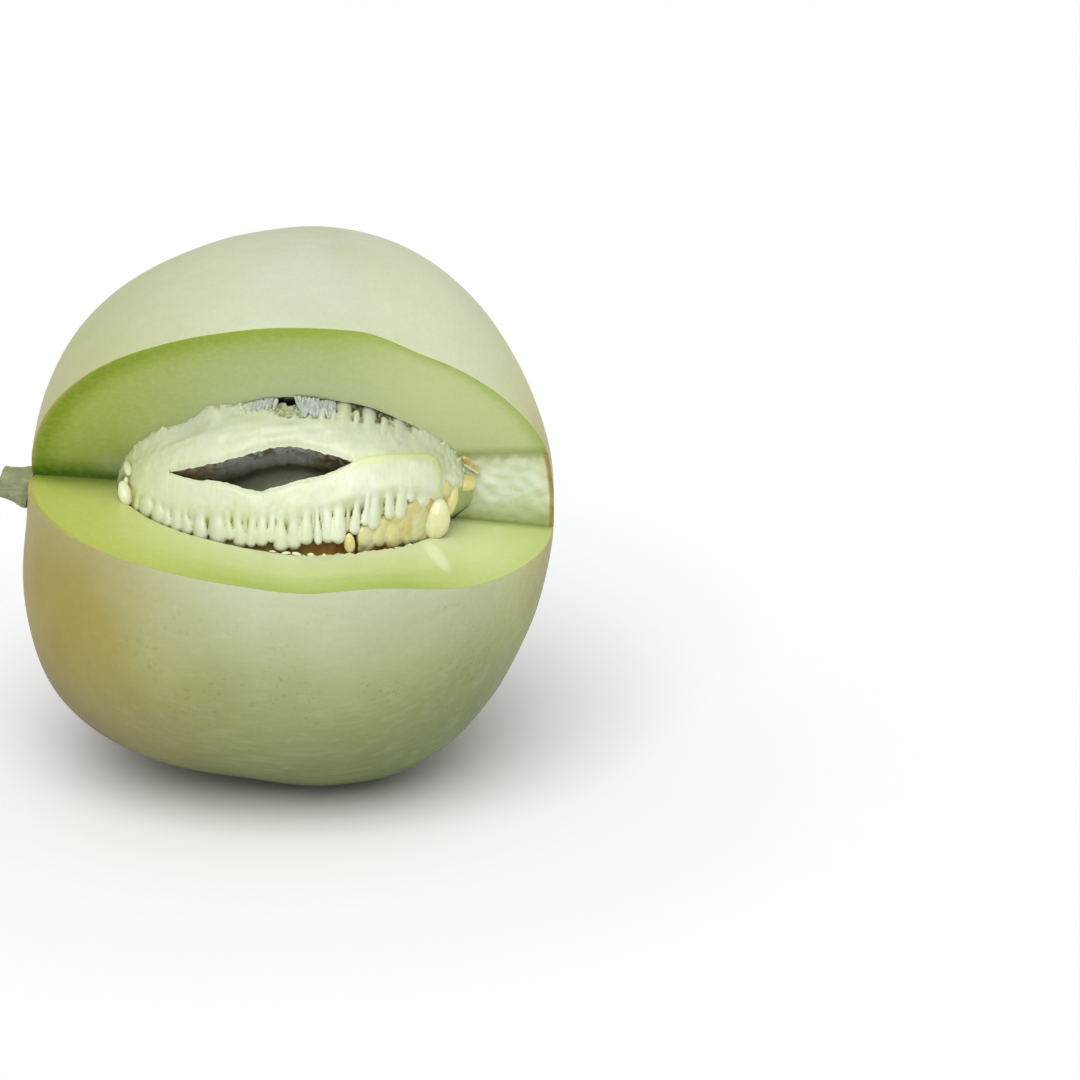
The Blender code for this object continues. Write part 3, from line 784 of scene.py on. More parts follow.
fringe = {
    # each finger: x, the angle of its tip, its length and its half width, from left to right
    "fingers": (
        (-41.7, 23.6, 4.7, 0.9), (-38.9, 21.2, 3.6, 2), (-35.4, 17.4, 4.8, 1.9), (-33, 15.8, 3.7, 1.3),
        (-30.4, 14.1, 4.2, 1.5), (-27.4, 13.6, 4.5, 1.6), (-23.7, 11.8, 5.4, 1.9), (-18.8, 10.5, 6.5, 2.35),
        (-15.7, 11.1, 4.8, 1.2), (-12.9, 9.5, 7.4, 1.9), (-9.9, 9.2, 6, 1.3), (-7.1, 10.1, 8, 1.6),
        (-4.6, 10.9, 5.9, 1.2), (-1.9, 8.8, 8.8, 2), (1.6, 9, 7, 1.75), (4.8, 10.8, 9.6, 1.85),
        (8.1, 10, 7.4, 1), (10.8, 11.2, 8.6, 1.85), (13.5, 11, 7.2, 1.85), (17.9, 13.2, 7.2, 1.35),
        (20.8, 16, 7, 1.2), (23.2, 14.6, 7.8, 1.85), (27.5, 18.3, 7.6, 1.3), (30.7, 17.9, 8.2, 1.75),
        (33.5, 25.6, 4, 1), (37.3, 23.6, 5, 2.1),
    ),
    "seed": 7,
    "wider": 1.12,
    "longer": (-1.2, 1.6),
    "lean": (-0.9, 0.9),
    "crest": (0.1, 1.3),
    "rootRise": 1.7,
    "neck": (0.45, 0.80),
    "spareSeed": 23,
    "spareShift": (-0.4, 0.4),
    "spareRaise": (0.6, 3.2),
    "spareLean": (-0.8, 0.8),
    "spareRadius": (0.9, 1.4),
    "spareLength": 9.0,
    # each finger across the gap: x, the angles of its tip and of its root, and its half width
    "upperFingers": ((15, 59.4, 50, 2.3), (21.8, 59, 50, 2.2), (30.2, 60.6, 52.5, 2.3),
                     (34.6, 61, 55, 1.4), (9, 54.6, 50, 1), (26, 56.4, 51, 1.1),
                     (18.4, 56, 51, 0.9), (12, 55, 50, 0.8)),
}


def ridge(points, root, tip, radius, crest, fade, neck=0.8):
    # a round finger's depth: crest + r - sqrt(r^2 - d^2), d being the distance to the line from root to tip
    line = tip - root
    t = np.clip(((points - root) @ line) / (line @ line), 0.0, 1.0)
    away = np.linalg.norm(points - (root + t[..., None] * line), axis=-1)
    size = radius * (neck + (1.0 - neck) * smooth(t, 0.30, 0.95))
    roundness = size - np.sqrt(np.clip(size ** 2 - away ** 2, 0.0, None))
    return np.where(away < size, crest + fade * fall(t, 0.0, 0.8) + roundness, 9.0)


def bandEdge(x):
    # the angle of the upper band's top edge, which lies a little inside the wall: a + 2.5 tan(a - 18)
    edge = curve(x, pulp["bandTop"])
    return edge + 2.5 * np.tan(np.radians(edge - 18.0))


def lobeShare(x, angle, wall):
    # how far a point is on the raised lobe, by the smaller way in from its top and from its right end, and
    # how near it is to the lobe's edge, both 0 to 1
    rise = np.radians(curve(x, pulp["lobeTop"]) - angle) * wall
    inside = softMin(rise, (pulp["lobeEnd"] - x) * 1.3, 5.0)
    edge = np.exp(-((inside - 1.3) / 1.8) ** 2) * smooth(x, 14.0, 24.0)
    return smooth(inside, -0.2, 1.3) * smooth(x, *pulp["lobeFrom"]), edge


def lipDepth(points, above):
    # both lips with their folds, lengthwise above and down to the fingers below, the raised lobe at the
    # right, and the groove behind the fingers
    x, angle = points[..., 0], wallAngle(points)
    depth = relief(points, pulp["relief"], curve(angle, pulp["lip"]))
    band = smooth(angle, *pulp["bandAngles"])
    height, *folds = pulp["bandFolds"]
    depth = depth + height * band * ripple(points, *folds)
    hang = fall(above, 7.0, 16.0) * smooth(x, -30.0, -12.0)
    height, *folds = pulp["hangFolds"]
    depth = depth + height * hang * ripple(points, *folds)
    lobe, _ = lobeShare(x, angle, wallRadius(x, angle))
    raised = pulp["lobeRise"] * lobe * smooth(above, 3.0, 9.0)
    depth = depth + pulp["bandRise"] * band * smooth(x, *pulp["lobeFrom"]) - raised
    share = np.clip(above / curve(x, pulp["grooveHeight"]), 0.0, 1.0)
    deepest = (curve(x, pulp["grooveDepth"]) + raised) * fall(x, 46.0, 50.0)
    return depth + deepest * fall(share, 0.20 + 0.35 * smooth(x, -5.0, 18.0), 1.0)


def addFingers(points, depth):
    # the fingers of the lower lip, each reaching up to the groove's top, with seeded leans, crests and necks
    draw = np.random.default_rng(fringe["seed"])
    for place, tipAngle, length, radius in fringe["fingers"]:
        # where the wall slants, a finger is wider along it, so that it looks as wide from the front
        steep = math.hypot(1.0, float(wallRadius(place + 0.5, tipAngle) - wallRadius(place - 0.5, tipAngle)))
        wide = radius * steep * fringe["wider"]
        reach = math.degrees(1.0 / float(wallRadius(place, tipAngle)))
        tipAngle += reach * (wide - 1.1 * radius) - 1.2 * float(smooth(place, -18.0, -24.0))
        rise = float(curve(place, pulp["grooveHeight"]) - cutHeights(wallPoint(place, tipAngle))[0])
        longer = max(length, rise - 1.0 + draw.uniform(*fringe["longer"]))
        lean = draw.uniform(*fringe["lean"])
        crest = draw.uniform(*fringe["crest"])
        top = fringe["rootRise"] - crest - pulp["lobeRise"] * float(smooth(place, 12.0, 22.0))
        root, tip = wallPoint(place + lean, tipAngle + reach * longer), wallPoint(place, tipAngle)
        neck = draw.uniform(*fringe["neck"])
        depth = softMin(depth, ridge(points, root, tip, wide, crest, top, neck), 1.2)
    return depth


def addSpares(points, depth):
    # smaller seeds behind, one between every two fingers, but for the last ones
    draw = np.random.default_rng(fringe["spareSeed"])
    fingers = fringe["fingers"]
    for first, second in zip(fingers[:-3], fingers[1:-2]):
        place = 0.5 * (first[0] + second[0]) + draw.uniform(*fringe["spareShift"])
        tipAngle = 0.5 * (first[1] + second[1]) + draw.uniform(*fringe["spareRaise"])
        deep = 1.1 + 0.42 * float(curve(place, pulp["grooveDepth"]))
        root = wallPoint(place + draw.uniform(*fringe["spareLean"]), tipAngle + fringe["spareLength"])
        radius = draw.uniform(*fringe["spareRadius"])
        depth = softMin(depth, ridge(points, root, wallPoint(place, tipAngle), radius, deep, -0.4, 0.5), 0.8)
    return depth


def addGap(points, depth):
    # the torn gap under the upper cut, its holes, and the fingers that cross it
    x, angle = points[..., 0], wallAngle(points)
    gap = smooth(relief(points, [pulp["gapWave"]], angle - bandEdge(x)), -0.4, 1.1)
    depth = depth + gap * (curve(x, pulp["gapDepth"]) + relief(points, pulp["gapRelief"]))
    for place, spot, size in pulp["holes"]:
        away = np.hypot(x - place, np.radians(angle - spot) * wallRadius(x, angle) * 1.5)
        depth = depth + gap * pulp["holeDepth"] * fall(away, 0.5 * size, 1.3 * size)
    for place, tipAngle, rootAngle, radius in fringe["upperFingers"]:
        root, tip = wallPoint(place, rootAngle), wallPoint(place + 0.3, tipAngle)
        depth = softMin(depth, ridge(points, root, tip, radius, 0.5, 1.2), 1.1)
    return depth


def addEnds(points, depth, above, below):
    # at both ends the pulp's edge lies on the flesh, with a hump e^-(distance / width)^2 before the gap
    x, angle = points[..., 0], wallAngle(points)
    edge = fall(below, 0.2, 3.2) * (fall(x, -21.5, -18.0) + smooth(x, 34.0, 38.0))
    depth = depth + edge * relief(points, pulp["edgeRelief"], pulp["edgeLevel"] - depth)
    place, leftWidth, rightWidth, height = pulp["hump"]
    width = np.where(x < place, leftWidth, rightWidth)
    hump = np.exp(-((x - place) / width) ** 2) * smooth(below, -2.0, 0.0)
    depth = depth - height * hump * fall(below, 1.0, 6.0)
    depth = depth + pulp["leftDip"] * smooth(x, -42.6, -45.0) * fall(angle, 60.0, 70.0)
    tail = smooth(x, 43.0, 49.0) * smooth(angle, 33.0, 42.0) * smooth(np.minimum(above, below), -1.0, 1.5)
    return depth + tail * relief(points, pulp["tailRelief"], pulp["tailLevel"] - depth)


def pulpDepth(points):
    # how deep the pulp's face lies inside the cavity's wall, and evenly so where the cuts leave it hidden
    above, below = cutHeights(points)
    depth = addSpares(points, addFingers(points, lipDepth(points, above)))
    depth = addEnds(points, addGap(points, depth), above, below)
    # rounded lips at the slit
    x, angle = points[..., 0], wallAngle(points)
    top, bottom = slitShape(x)
    toSlit = np.maximum(np.radians(angle - top), np.radians(bottom - angle)) * wallRadius(x, angle)
    low, high = slit["ends"]
    height, width = pulp["slitLip"]
    depth = depth + height * fall(toSlit, 0.0, width) ** 2 * (x > low) * (x < high)
    shown = smooth(np.minimum(above, below), -5.0, -2.0)
    return pulp["hidden"] + (depth - pulp["hidden"]) * shown


slit = {
    "ends": (-32.2, 17.2),
    "top": ((-32.2, 37.6), (-26, 36.8), (-19.7, 36.6), (-14, 37.8), (-7.9, 39.4), (-1.7, 40.6), (3.5, 40.2),
            (7, 39.2), (11, 38.3), (17.2, 36.2)),
    "bottom": ((-32.2, 37.6), (-28, 34), (-23.3, 31.3), (-16.2, 29.3), (-11, 26.6), (-7.3, 26.2),
               (-2.2, 27.4), (3.2, 29.3), (8.1, 30.7), (12.6, 32.4), (14.8, 34.2), (17.2, 36.2)),
    "ceiling": ((-32.2, 3), (-24, 13), (-16, 17), (-6, 15), (3, 14), (12, 13), (17.2, 5)),
    "ceilingWave": (0.30, 4.0, 51, (1.0, 2.0, 2.0)),
    "lipAngle": 3.0,
    "bowl": 6.0,
    "lowLip": (2.2, 1.0, -1.0),
    "mouth": -4.0,
    "steps": (150, 34, 12, 18, 14),  # along, then the roof, its end, the floor and the mouth
}


def slitShape(x):
    # the slit's upper and lower angle at x, a little wavy, and inside the wall as the band's edge is
    low, high = slit["ends"]
    wave = 0.16 * np.sin(x * 1.1) + 0.12 * np.sin(x * 2.3 + 1.0) + 0.08 * np.sin(x * 3.7)
    opened = smooth(x, low, low + 6.0) * fall(x, high - 5.0, high)
    top, bottom = curve(x, slit["top"]), curve(x, slit["bottom"])
    top = top + slit["lipAngle"] * np.tan(np.radians(top - 18.0)) + wave * opened
    return top, bottom + slit["lipAngle"] * np.tan(np.radians(bottom - 18.0)) + 0.4 * wave * opened


def slitCutter(materials):
    # a lens that follows the slit's edges: its roof runs in to the ceiling's depth, then up into the dark
    rows, roofSteps, innerSteps, lowSteps, mouthSteps = slit["steps"]
    start = slit["mouth"]
    x = np.linspace(*slit["ends"], rows + 2)[1:-1, None]
    top, bottom = slitShape(x)
    bow = np.sqrt(np.sin(math.pi * np.linspace(0.0, 1.0, rows + 2)[1:-1, None]))
    ceiling = curve(x, slit["ceiling"])
    inward = start + (ceiling - start) * np.linspace(0.0, 1.0, roofSteps)[None, 1:]
    roof = wallPoint(x, top, inward)
    height, *wave = slit["ceilingWave"]
    roof[..., 2] += height * ripple(roof, *wave) * smooth(inward, 1.5, 6.0) * bow
    deep = ceiling + slit["bowl"]
    further = ceiling + (deep - ceiling) * np.linspace(0.06, 1.0, innerSteps)[None, :]
    inner = wallPoint(x, top + 4.0 * bow, further)
    back = deep - (deep - 3.4) * np.linspace(0.0, 1.0, lowSteps)[None, :]
    lowInner = wallPoint(x, bottom - 2.0 * bow, back)
    lowLip = wallPoint(x, bottom, np.array([slit["lowLip"]]))
    mouth = wallPoint(x, bottom + (top - bottom) * np.linspace(0.0, 1.0, mouthSteps)[None, :], start)
    stack = np.concatenate([roof, inner, lowInner, lowLip, mouth], axis=1)
    ends = wallPoint(np.array(slit["ends"]), slitShape(np.array(slit["ends"]))[0], 0.5)
    return makeMesh("slitCutter", [rings(stack, ends[0], ends[1])], materials, 1)


pulpTints = {
    "band": (208, 215, 190), "lip": (218, 225, 194), "lobe": (228, 234, 214), "cloud": (214, 218, 172),
    "leftEnd": (222, 226, 164), "thread": (186, 194, 148), "lobeEdge": (216, 220, 146),
    "lowRight": (172, 186, 116), "groove": (170, 166, 92), "warmGroove": (164, 122, 50),
    "gapOlive": (164, 168, 116), "gapBrown": (128, 112, 50), "gapPale": (206, 212, 170),
    "hole": (52, 42, 24),
}


def pulpPaint():
    paint = Paint("pulpFlesh", pulpTints, specular=0.45, subsurface=(0.25, 0.004))
    clouds = paint.noise(10.0, 3.0, 0.55)
    threads = paint.noise(1.2, 4.0, 0.6, (1.0, 0.35, 0.35))
    x = paint.axis("X")
    paint.base = "band"
    paint.coat(paint.value("lowerLip"), paint.mix(x.spread(0.004, 0.020), "lip", "lobe"))
    paint.coat(clouds.spread(0.40, 0.65) * 0.4, "cloud")
    paint.coat(x.spread(-0.020, -0.046) * 0.5, "leftEnd")
    paint.coat(threads.spread(0.45, 0.70) * 0.2, "thread")
    # painted shade: a yellow-green band along the raised lobe's edge
    paint.coat(paint.value("lobeEdge") * 0.6, "lobeEdge")
    # painted shade: the pulp's lower right end grey-green, as the shaded torn face beside it
    paint.coat(x.spread(0.0450, 0.0480) * paint.axis("Z").spread(0.090, 0.085) * 0.8, "lowRight")
    # painted shade in the grooves behind the fingers, stronger deeper in: olive, and brown where the brown
    # pulp shows at the right
    paint.coat(paint.value("groove"), paint.mix(paint.value("warm"), "groove", "warmGroove"))
    behind = paint.mix(x.spread(0.014, 0.019), "gapOlive", "gapBrown")
    paint.coat(paint.value("gap"), paint.mix((threads + clouds).spread(0.85, 1.20), behind, "gapPale"))
    # painted shade: dark brown in the holes of the gap
    paint.coat(paint.value("hole"), "hole")
    paint.into("Roughness", 0.30 + threads * 0.22)
    return paint.done(threads + clouds, 0.00008)


hollowTints = {
    "lip": (206, 208, 180), "ceiling": (170, 174, 166), "deep": (128, 132, 106), "dot": (104, 82, 48),
    "brown": (150, 122, 78), "buff": (206, 186, 150), "rightEnd": (116, 88, 50), "spot": (112, 92, 56),
}


def hollowPaint():
    paint = Paint("slitWall", hollowTints)
    x, down = paint.axis("X"), paint.value("wallDepth")
    lumps = paint.noise(2.6, 2.0, 0.5)
    paint.base = "lip"
    # painted shade: the slit's wall greyer and darker the deeper it runs in
    paint.coat(down.spread(1.4, 3.2), "ceiling")
    paint.coat(down.spread(10.0, 17.0), "deep")
    paint.coat(lumps.spread(0.50, 0.58) * down.spread(10.0, 5.0) * 0.8, "dot")
    grain = paint.noise(1.6, 2.0, 0.5, (1.0, 0.3, 0.3))
    paint.coat(x.spread(-0.010, -0.024) * 0.7, paint.mix(grain.spread(0.4, 0.6), "brown", "buff"))
    paint.coat(x.spread(0.006, 0.014) * lumps.spread(0.35, 0.55) * 0.8, "rightEnd")
    # a brown spot under the top lip, (x / 1.9)^2 + (depth / 4)^2 < about 1 round its middle
    across, along = (x + 0.0023) / 0.0019, (down - 4.0) / 4.0
    paint.coat((across * across + along * along + lumps * 1.2).spread(1.6, 0.8) * 0.8, "spot")
    return paint.done(lumps, 0.0005)


def makePulp():
    stack, first, last = wallGrid(spacing(*pulp["xs"]), spacing(*pulp["angles"]))
    stack = pushOut(stack, -pulpDepth(stack) * smooth(axisDistance(stack), 0.0, 9.0))
    materials = [pulpPaint(), hollowPaint()]
    piece = carve(makeMesh("pulpMass", [rings(stack, first, last)], materials, 0), [slitCutter(materials)])
    points = meshPoints(piece.data)
    x, angle = points[:, 0], wallAngle(points)
    above, below = cutHeights(points)
    wall = wallRadius(x, angle)
    level = wall - axisDistance(points)
    high = curve(x, pulp["grooveHeight"])
    inGroove = fall(above, 0.75 * high, high)
    inGroove = np.maximum(inGroove * fall(x, 42.5, 44.5), 0.3 * smooth(x, -43.4, -45.0))
    inGroove = inGroove * smooth(level / (curve(x, pulp["grooveDepth"]) + 1.1), 0.42, 0.88)
    warm = smooth(x, -18.0, 6.0) * (0.35 + 0.65 * smooth(level, 3.0, 5.5))
    warm = warm * (1.0 - 0.75 * smooth(above, 4.0, 9.0))
    inGap = smooth(angle - bandEdge(x), -0.6, 0.6) * fall(x, 36.0, 40.0) * smooth(x, -22.0, -18.5)
    smudges = fall(below, 0.4, 1.6) * smooth(ripple(points, 7.0, 63), 0.0, 0.5) * (x < -18.0)
    setValues(piece, groove=inGroove, warm=warm, hole=smooth(level, 3.0, 4.2) * inGap, wallDepth=level,
              gap=np.maximum(smooth(level, 1.6, 2.6) * inGap, 0.8 * smudges),
              lowerLip=smooth(x, -34.0, 14.0) * fall(angle, 38.0, 46.0),
              lobeEdge=lobeShare(x, angle, wall)[1])
    finish(piece, "seed_pulp", 60.0)


# Pulp-wrapped seeds and torn bits that stand free of the mass

def blob(x, angle, depth, half, lean=0.0, taper=0.2, steps=(20, 26)):
    # an ellipsoid, narrower at its top, against the wall: half sizes across, through and along it
    turn, tilt = math.radians(angle), math.radians(lean)
    middle = wallPoint(x, angle, depth)
    outward = np.array([0.0, -math.cos(turn), math.sin(turn)])
    upward = np.array([0.0, math.sin(turn), math.cos(turn)])
    sideways = np.array([1.0, 0.0, 0.0])
    across = sideways * math.cos(tilt) + upward * math.sin(tilt)
    along = upward * math.cos(tilt) - sideways * math.sin(tilt)
    rise = -np.cos(np.linspace(0.0, math.pi, steps[0]))[1:-1, None, None]
    width = np.sqrt(1.0 - rise ** 2) * (1.0 - taper * rise)
    turns = fullTurn(steps[1])[None, :, None]
    stack = middle + along * half[2] * rise
    stack = stack + width * (across * half[0] * np.cos(turns) + outward * half[1] * np.sin(turns))
    return rings(stack, middle - along * half[2], middle + along * half[2])


def strand(path, radius, flat=1.0, steps=(14, 10)):
    # a round string through the path's points, thin at both ends
    path = np.array(path, float)
    knots = np.linspace(0.0, 1.0, len(path))
    t = np.linspace(0.0, 1.0, steps[0])
    line = np.stack([np.interp(t, knots, path[:, i]) for i in range(3)], axis=-1)
    forward = np.gradient(line, axis=0)
    forward /= np.linalg.norm(forward, axis=1, keepdims=True)
    side = np.cross(forward, (0.0, -0.8, 0.6))
    side /= np.linalg.norm(side, axis=1, keepdims=True) + 1e-9
    other = np.cross(forward, side)
    turns = fullTurn(steps[1])[None, :, None]
    width = radius * np.sqrt(np.sin(math.pi * (0.04 + 0.92 * t)))[:, None, None]
    stack = line[:, None] + width * (side[:, None] * np.cos(turns) + flat * other[:, None] * np.sin(turns))
    return rings(stack[1:-1], line[0], line[-1])


gel = {
    "xs": (17.6, 50.0, 200),
    "angles": (0.5, 56.0, 150),
    "floor": ((4, 3), (9, 2.4), (13, 1.5), (40, 1.3)),
    "relief": ((0.30, 3.4, 61), (0.05, 1.4, 62)),
    "top": ((17, 13), (20, 17), (28, 22), (34, 27), (38, 31), (42, 37), (46, 46)),
    "outside": 6.8,
    "back": 7.5,
    # each lump: x, angle, half width, half height, the depth of its crown, its lean and how pale it is
    "lumps": ((20.6, 10.6, 2.4, 3.4, 1.3, 0, 0.75), (24.8, 10.6, 2.3, 3.6, 1.4, 0, 0.7),
              (28.8, 10.2, 2.9, 4.2, 0.7, 2, 0.6), (32.3, 14, 2.2, 6.4, 0.7, -4, 0.4),
              (35.5, 12, 3, 5.2, 0.6, 4, 0.75), (34.6, 21, 2, 3.6, 1.4, 0, 0.5),
              (38.2, 5.2, 4, 2.4, 1.2, 0, 0.5), (41.5, 25, 3, 4, 1.8, 20, 0.1),
              (44.6, 36, 2.4, 3.6, 1, 20, 0.6)),
    # each group of free seeds: its node, slot and paleness, then each seed: x, angle, depth, half sizes, lean
    "free": {
        "loose": ("ripe_seeds", "seeds", 0.5, (
            (49.4, 46, -1.5, (3, 1.7, 2.7), 10), (16.5, 8.8, 1.4, (1.5, 1.2, 2.8), 3),
            (45.3, 30, 0, (1.7, 1.5, 4.6), -14))),
        "big": ("ripe_seeds", "seeds", 0.9, ((40.4, 17.0, 0.1, (4.3, 3.0, 6.0), -8.0),)),
        "left": (None, "pulp", 1.15, (
            (-44.9, 36.2, -0.9, (1.9, 1.5, 3.7), 15), (-44.3, 57, -0.2, (1.1, 1, 2.6), 12),
            (-44.7, 47.5, 0, (0.7, 0.7, 1.2), 0))),
    },
    "bigShade": (0.8, 12.5, 17.0),  # how much less pale the big seed's top is, and between which heights
    "seedTaper": 0.1,
    "seedSteps": (36, 36),
}


def lumpField(points):
    # each lump is an ellipse on the wall, crown + w (1 - sqrt(1 - q)) deep, and they meet in soft creases
    x, angle = points[..., 0], wallAngle(points)
    inside = fall(angle - curve(x, gel["top"]), -5.0, 5.0) * smooth(x, 17.6, 19.0)
    floor = relief(points, gel["relief"], curve(angle, gel["floor"]))
    depth = gel["outside"] + (floor - gel["outside"]) * inside
    pale, weight = 0.0 * x, 0.0 * x + 1e-6
    for place, spot, wide, tall, crown, lean, shade in gel["lumps"]:
        across = x - place
        along = np.radians(angle - spot) * float(wallRadius(place, spot))
        turn = math.radians(lean)
        u = (across * math.cos(turn) - along * math.sin(turn)) / wide
        v = (across * math.sin(turn) + along * math.cos(turn)) / tall
        q = u * u + v * v
        lump = crown + wide * (1.0 - np.sqrt(np.clip(1.0 - q, 0.0, None)))
        depth = softMin(depth, np.where(q < 1.0, lump, 9.0), 1.0)
        near = np.exp(-4.0 * q)
        pale, weight = pale + near * (shade - 0.15 * v), weight + near
    return depth, pale / weight


gelTints = {
    "amber": (200, 172, 94), "straw": (214, 204, 138), "cream": (222, 220, 168), "pale": (228, 230, 196),
    # the last two tints are painted shade, for the gel deep between the lumps and low in the lower cut's
    # shadow
    "white": (224, 230, 206), "skin": (196, 172, 98), "lowSkin": (134, 96, 34),
}


def gelPaint(name):
    paint = Paint(name, gelTints, rough=0.12, subsurface=(0.4, 0.003), radius=(1.0, 0.8, 0.45))
    clouds = paint.noise(2.6, 3.0, 0.6)
    stops = ((0.0, "amber"), (0.4, "straw"), (0.8, "cream"), (1.1, "pale"), (1.6, "white"))
    paint.steps(paint.value("pale") + clouds * 0.7 - 0.35, stops)
    # painted shade: the gel brown where it lies deeper, between the lumps, and dark brown low along the lower
    # cut, in its shadow
    deep = (paint.value("wallDepth") + clouds * 1.2).spread(2.6, 3.6)
    paint.coat(deep, paint.mix(paint.axis("Z").spread(0.089, 0.084), "skin", "lowSkin"))
    return paint.done(clouds, 0.0004)


def makeRipeSeeds():
    # a closed sheet along the lower right wall, its front raised in lumps, and the seeds that lie free
    stack, _, _ = wallGrid(spacing(gel["xs"]), spacing(gel["angles"]))
    depth, pale = lumpField(stack)
    back = pushOut(stack, -gel["back"])[:, ::-10]
    whole = np.concatenate([pushOut(stack, -depth), back], axis=1)
    first, last = whole[[0, -1]].mean(axis=1)
    sheet = makeMesh("gelSheet", [rings(whole, first, last)], [gelPaint("seedGel")])
    behind = np.zeros(back.shape[:2])
    shades = np.concatenate([pale, behind], axis=1).ravel()
    levels = np.concatenate([depth, behind + gel["back"]], axis=1).ravel()
    shades, levels = (np.concatenate([[end], row, [end]]) for end, row in ((0.0, shades), (9.0, levels)))
    setValues(sheet, pale=shades, wallDepth=levels)
    finish(sheet, "ripe_seeds", 80.0)
    for name, (node, slotName, shade, seeds) in gel["free"].items():
        parts = [blob(*seed, gel["seedTaper"], gel["seedSteps"]) for seed in seeds]
        piece = makeMesh(name + "Seeds", parts, [gelPaint(name + "Gel")])
        darker, low, high = gel["bigShade"]
        top = smooth(meshPoints(piece.data)[:, 2], low, high)
        setValues(piece, pale=shade - (name == "big") * darker * top)
        finish(piece, node)


shreds = {
    # each group of fibres: the middle, the half width and the count
    "fibreGroups": ((-6, 2.4, 8), (6.2, 2.8, 12), (9.4, 2.6, 12), (-13.5, 4.5, 6)),
    "clumps": ((-7.6, 58.5), (-4.6, 59.5), (5, 59), (7.4, 58), (9.6, 59.5), (11.2, 58), (-12.5, 61)),
    "bits": ((43, 61), (44.2, 63), (46.4, 64.5), (47.4, 61), (48.2, 64), (48.8, 58), (49.4, 61),
             (49.8, 54)),
    "teeth": (-4.0, 33.0, 12),  # from, to, count
    "hair": (((48.6, -11.8, 17.6), (50.8, -12, 16.2), (53.2, -12.2, 14.6)), 0.35),
    "peel": (((48.2, -9.6, 20.4), (49.8, -10.6, 18.4), (51.8, -10.8, 15.6), (53.2, -10.8, 13.8)), 1.2, 0.4),
    "seed": 19,
    "tints": {"fibre": (206, 214, 206), "fibreShade": (178, 186, 168), "bit": (218, 224, 182),
              "peel": (214, 196, 130), "peelShade": (190, 156, 88)},
}


def rimPoint(x, out, drop):
    # a point drop under the upper cut, out past the cavity's edge: |end + s d| = radius + out, solved for s
    upper = float(cutAngles(x)[0])
    y, z = (float(v) for v in cutEnd(wedge["upperEnds"], x))
    z -= cavity["centre"][2]
    reach = float(wallRadius(x, 60.0)) + out
    slope = z * math.sin(upper) - y * math.cos(upper)
    s = math.sqrt(slope ** 2 - y * y - z * z + reach ** 2) - slope
    height = z + s * math.sin(upper) - drop * math.cos(upper)
    return np.array([x, y - s * math.cos(upper) - drop * math.sin(upper), height + cavity["centre"][2]])


def shredPaint(name, rough, subsurface, light, dark=None, grain=None, ends=None):
    # one tint, or two in small clouds
    paint = Paint(name, shreds["tints"], rough=rough, subsurface=subsurface)
    paint.base = light
    if dark:
        paint.coat(paint.noise(*grain).spread(*ends), dark)
    return [paint.done()]


def makeShreds():
    # pale grey fibres across the gap at the top, and torn bits along the edges, placed by one seeded draw
    draw = np.random.default_rng(shreds["seed"])
    fibres = []
    for middle, width, count in shreds["fibreGroups"]:
        for x in middle + draw.uniform(-width, width, count):
            low = float(bandEdge(x)) + draw.uniform(-0.5, 3.0)
            drift = draw.uniform(-2.6, 2.6)
            out = draw.uniform(-0.8, 1.5) * (1.0 if 2.0 < x < 13.0 else 0.3)
            top = rimPoint(x + drift, out, 0.4)
            middlePoint = wallPoint(x + 0.6 * drift, 0.5 * (low + 60.5), draw.uniform(0.2, 1.2))
            fibres.append(strand([wallPoint(x, low, 1.6), middlePoint, top], draw.uniform(0.4, 0.95)))
    for x, angle in shreds["clumps"]:
        half = (draw.uniform(1.2, 2.0), 0.8, draw.uniform(1.6, 2.6))
        fibres.append(blob(x, angle, draw.uniform(0.8, 1.4), half, draw.uniform(-30.0, 30.0)))
    grain = (1.6, 3.0, 0.6)
    paint = shredPaint("greyFibres", 0.35, (0.2, 0.002), "fibre", "fibreShade", grain, (0.35, 0.65))
    finish(makeMesh("greyFibres", fibres, paint), None)
    bits = []
    for x, angle in shreds["bits"]:
        half = (draw.uniform(0.35, 0.6), 0.5, draw.uniform(0.7, 1.3))
        bits.append(blob(x, angle - 1.2, -1.1, half, draw.uniform(-70.0, 20.0)))
    bits.append(strand(*shreds["hair"]))
    left, right, count = shreds["teeth"]
    for x in np.linspace(left, right, count) + draw.uniform(-0.6, 0.6, count):
        base = float(cutEnd(wedge["lowerEnds"], x)[1]) - cavity["centre"][2]
        angle = math.degrees(math.asin(base / float(wallRadius(x, 6.0))))
        half = (draw.uniform(0.6, 1.4), 0.7, draw.uniform(0.25, 0.6))
        bits.append(blob(x, angle - 0.4, draw.uniform(-0.3, 0.4), half, draw.uniform(-20.0, 20.0)))
    finish(makeMesh("tornBits", bits, shredPaint("tornBits", 0.5, (0.2, 0.002), "bit")), None)
    paint = shredPaint("amberPeel", 0.25, (0.0, 0.05), "peel", "peelShade", (2.0, 3.0, 0.5), (0.4, 0.6))
    finish(makeMesh("amberPeel", [strand(*shreds["peel"])], paint), None)


# The stage

view = {
    "elevation": 18.0,
    "distance": 0.900,
    "lens": 105.6,
    "sensor": 36.0,
    "aimRight": 0.07155,
    "aimDown": 0.00844,
}


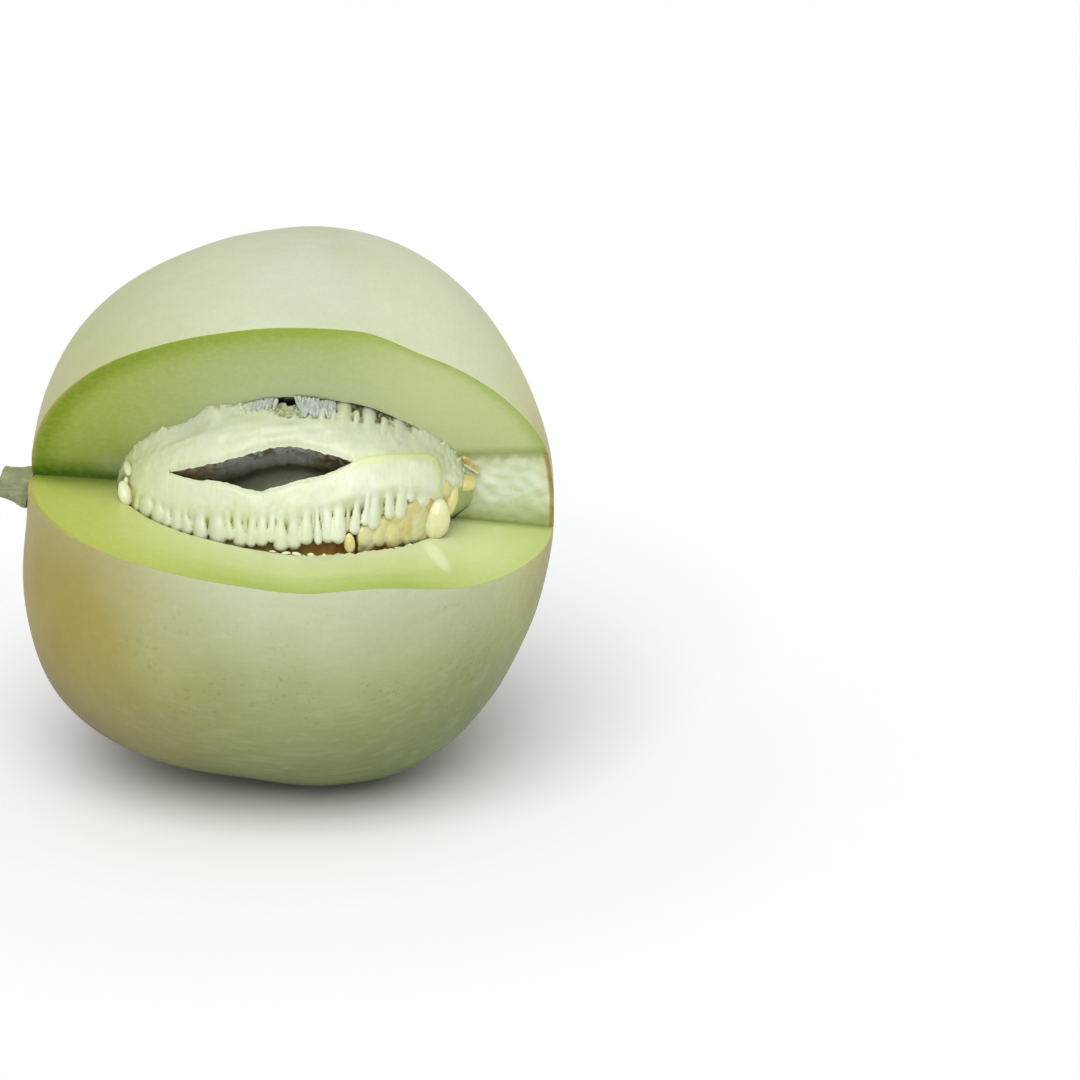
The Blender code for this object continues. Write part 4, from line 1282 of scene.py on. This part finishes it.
def makeCamera():
    # seen from the front, with the aim to the right of the melon and a little below its middle
    turn = math.radians(view["elevation"])
    toward = Vector((0.0, -math.cos(turn), math.sin(turn)))
    up = Vector((0.0, math.sin(turn), math.cos(turn)))
    place = Vector(centre) + toward * view["distance"]
    target = Vector(centre) + Vector((view["aimRight"], 0.0, 0.0)) - up * view["aimDown"]
    back = (place - target).normalized()
    right = up.cross(back).normalized()
    lens = bpy.data.cameras.new("camera")
    lens.lens = view["lens"]
    lens.sensor_width = view["sensor"]
    lens.clip_start = 0.01
    camera = bpy.data.objects.new("camera", lens)
    axes = Matrix((right, back.cross(right), back)).transposed().to_4x4()
    camera.matrix_world = Matrix.Translation(place) @ axes
    scene.collection.objects.link(camera)
    scene.camera = camera


studio = {
    "floorHalf": 8.0,
    "floorColour": (0.93, 0.93, 0.93, 1.0),
    "skyColour": (0.98, 0.99, 1.0, 1.0),
    "skyStrength": 0.56,
    "lightFrom": (-0.15, -0.75, 1.0),
    "lightPower": 2.1,
    "lightSpread": 50.0,
}


def makeStage():
    half = studio["floorHalf"]
    mesh = bpy.data.meshes.new("floor")
    corners = [(-half, -half, 0.0), (half, -half, 0.0), (half, half, 0.0), (-half, half, 0.0)]
    mesh.from_pydata(corners, [], [(0, 1, 2, 3)])
    floor = bpy.data.objects.new("floor", mesh)
    scene.collection.objects.link(floor)
    paint = Paint("floorPaint", {}, rough=0.9)
    paint.into("Base Color", studio["floorColour"])
    mesh.materials.append(paint.material)
    world = bpy.data.worlds.new("studio")
    world.use_nodes = True
    sky = world.node_tree.nodes["Background"]
    sky.inputs["Color"].default_value = studio["skyColour"]
    sky.inputs["Strength"].default_value = studio["skyStrength"]
    scene.world = world
    light = bpy.data.lights.new("topLight", "SUN")
    light.energy = studio["lightPower"]
    light.angle = math.radians(studio["lightSpread"])
    lamp = bpy.data.objects.new("topLight", light)
    lamp.rotation_euler = Vector(studio["lightFrom"]).to_track_quat("Z", "Y").to_euler()
    scene.collection.objects.link(lamp)
    scene.view_settings.view_transform = "Standard"


makeCamera()
makeStage()
print("stage ready")
makeMelon()
makeStub()
makePulp()
makeRipeSeeds()
makeShreds()
print("pieces ready")
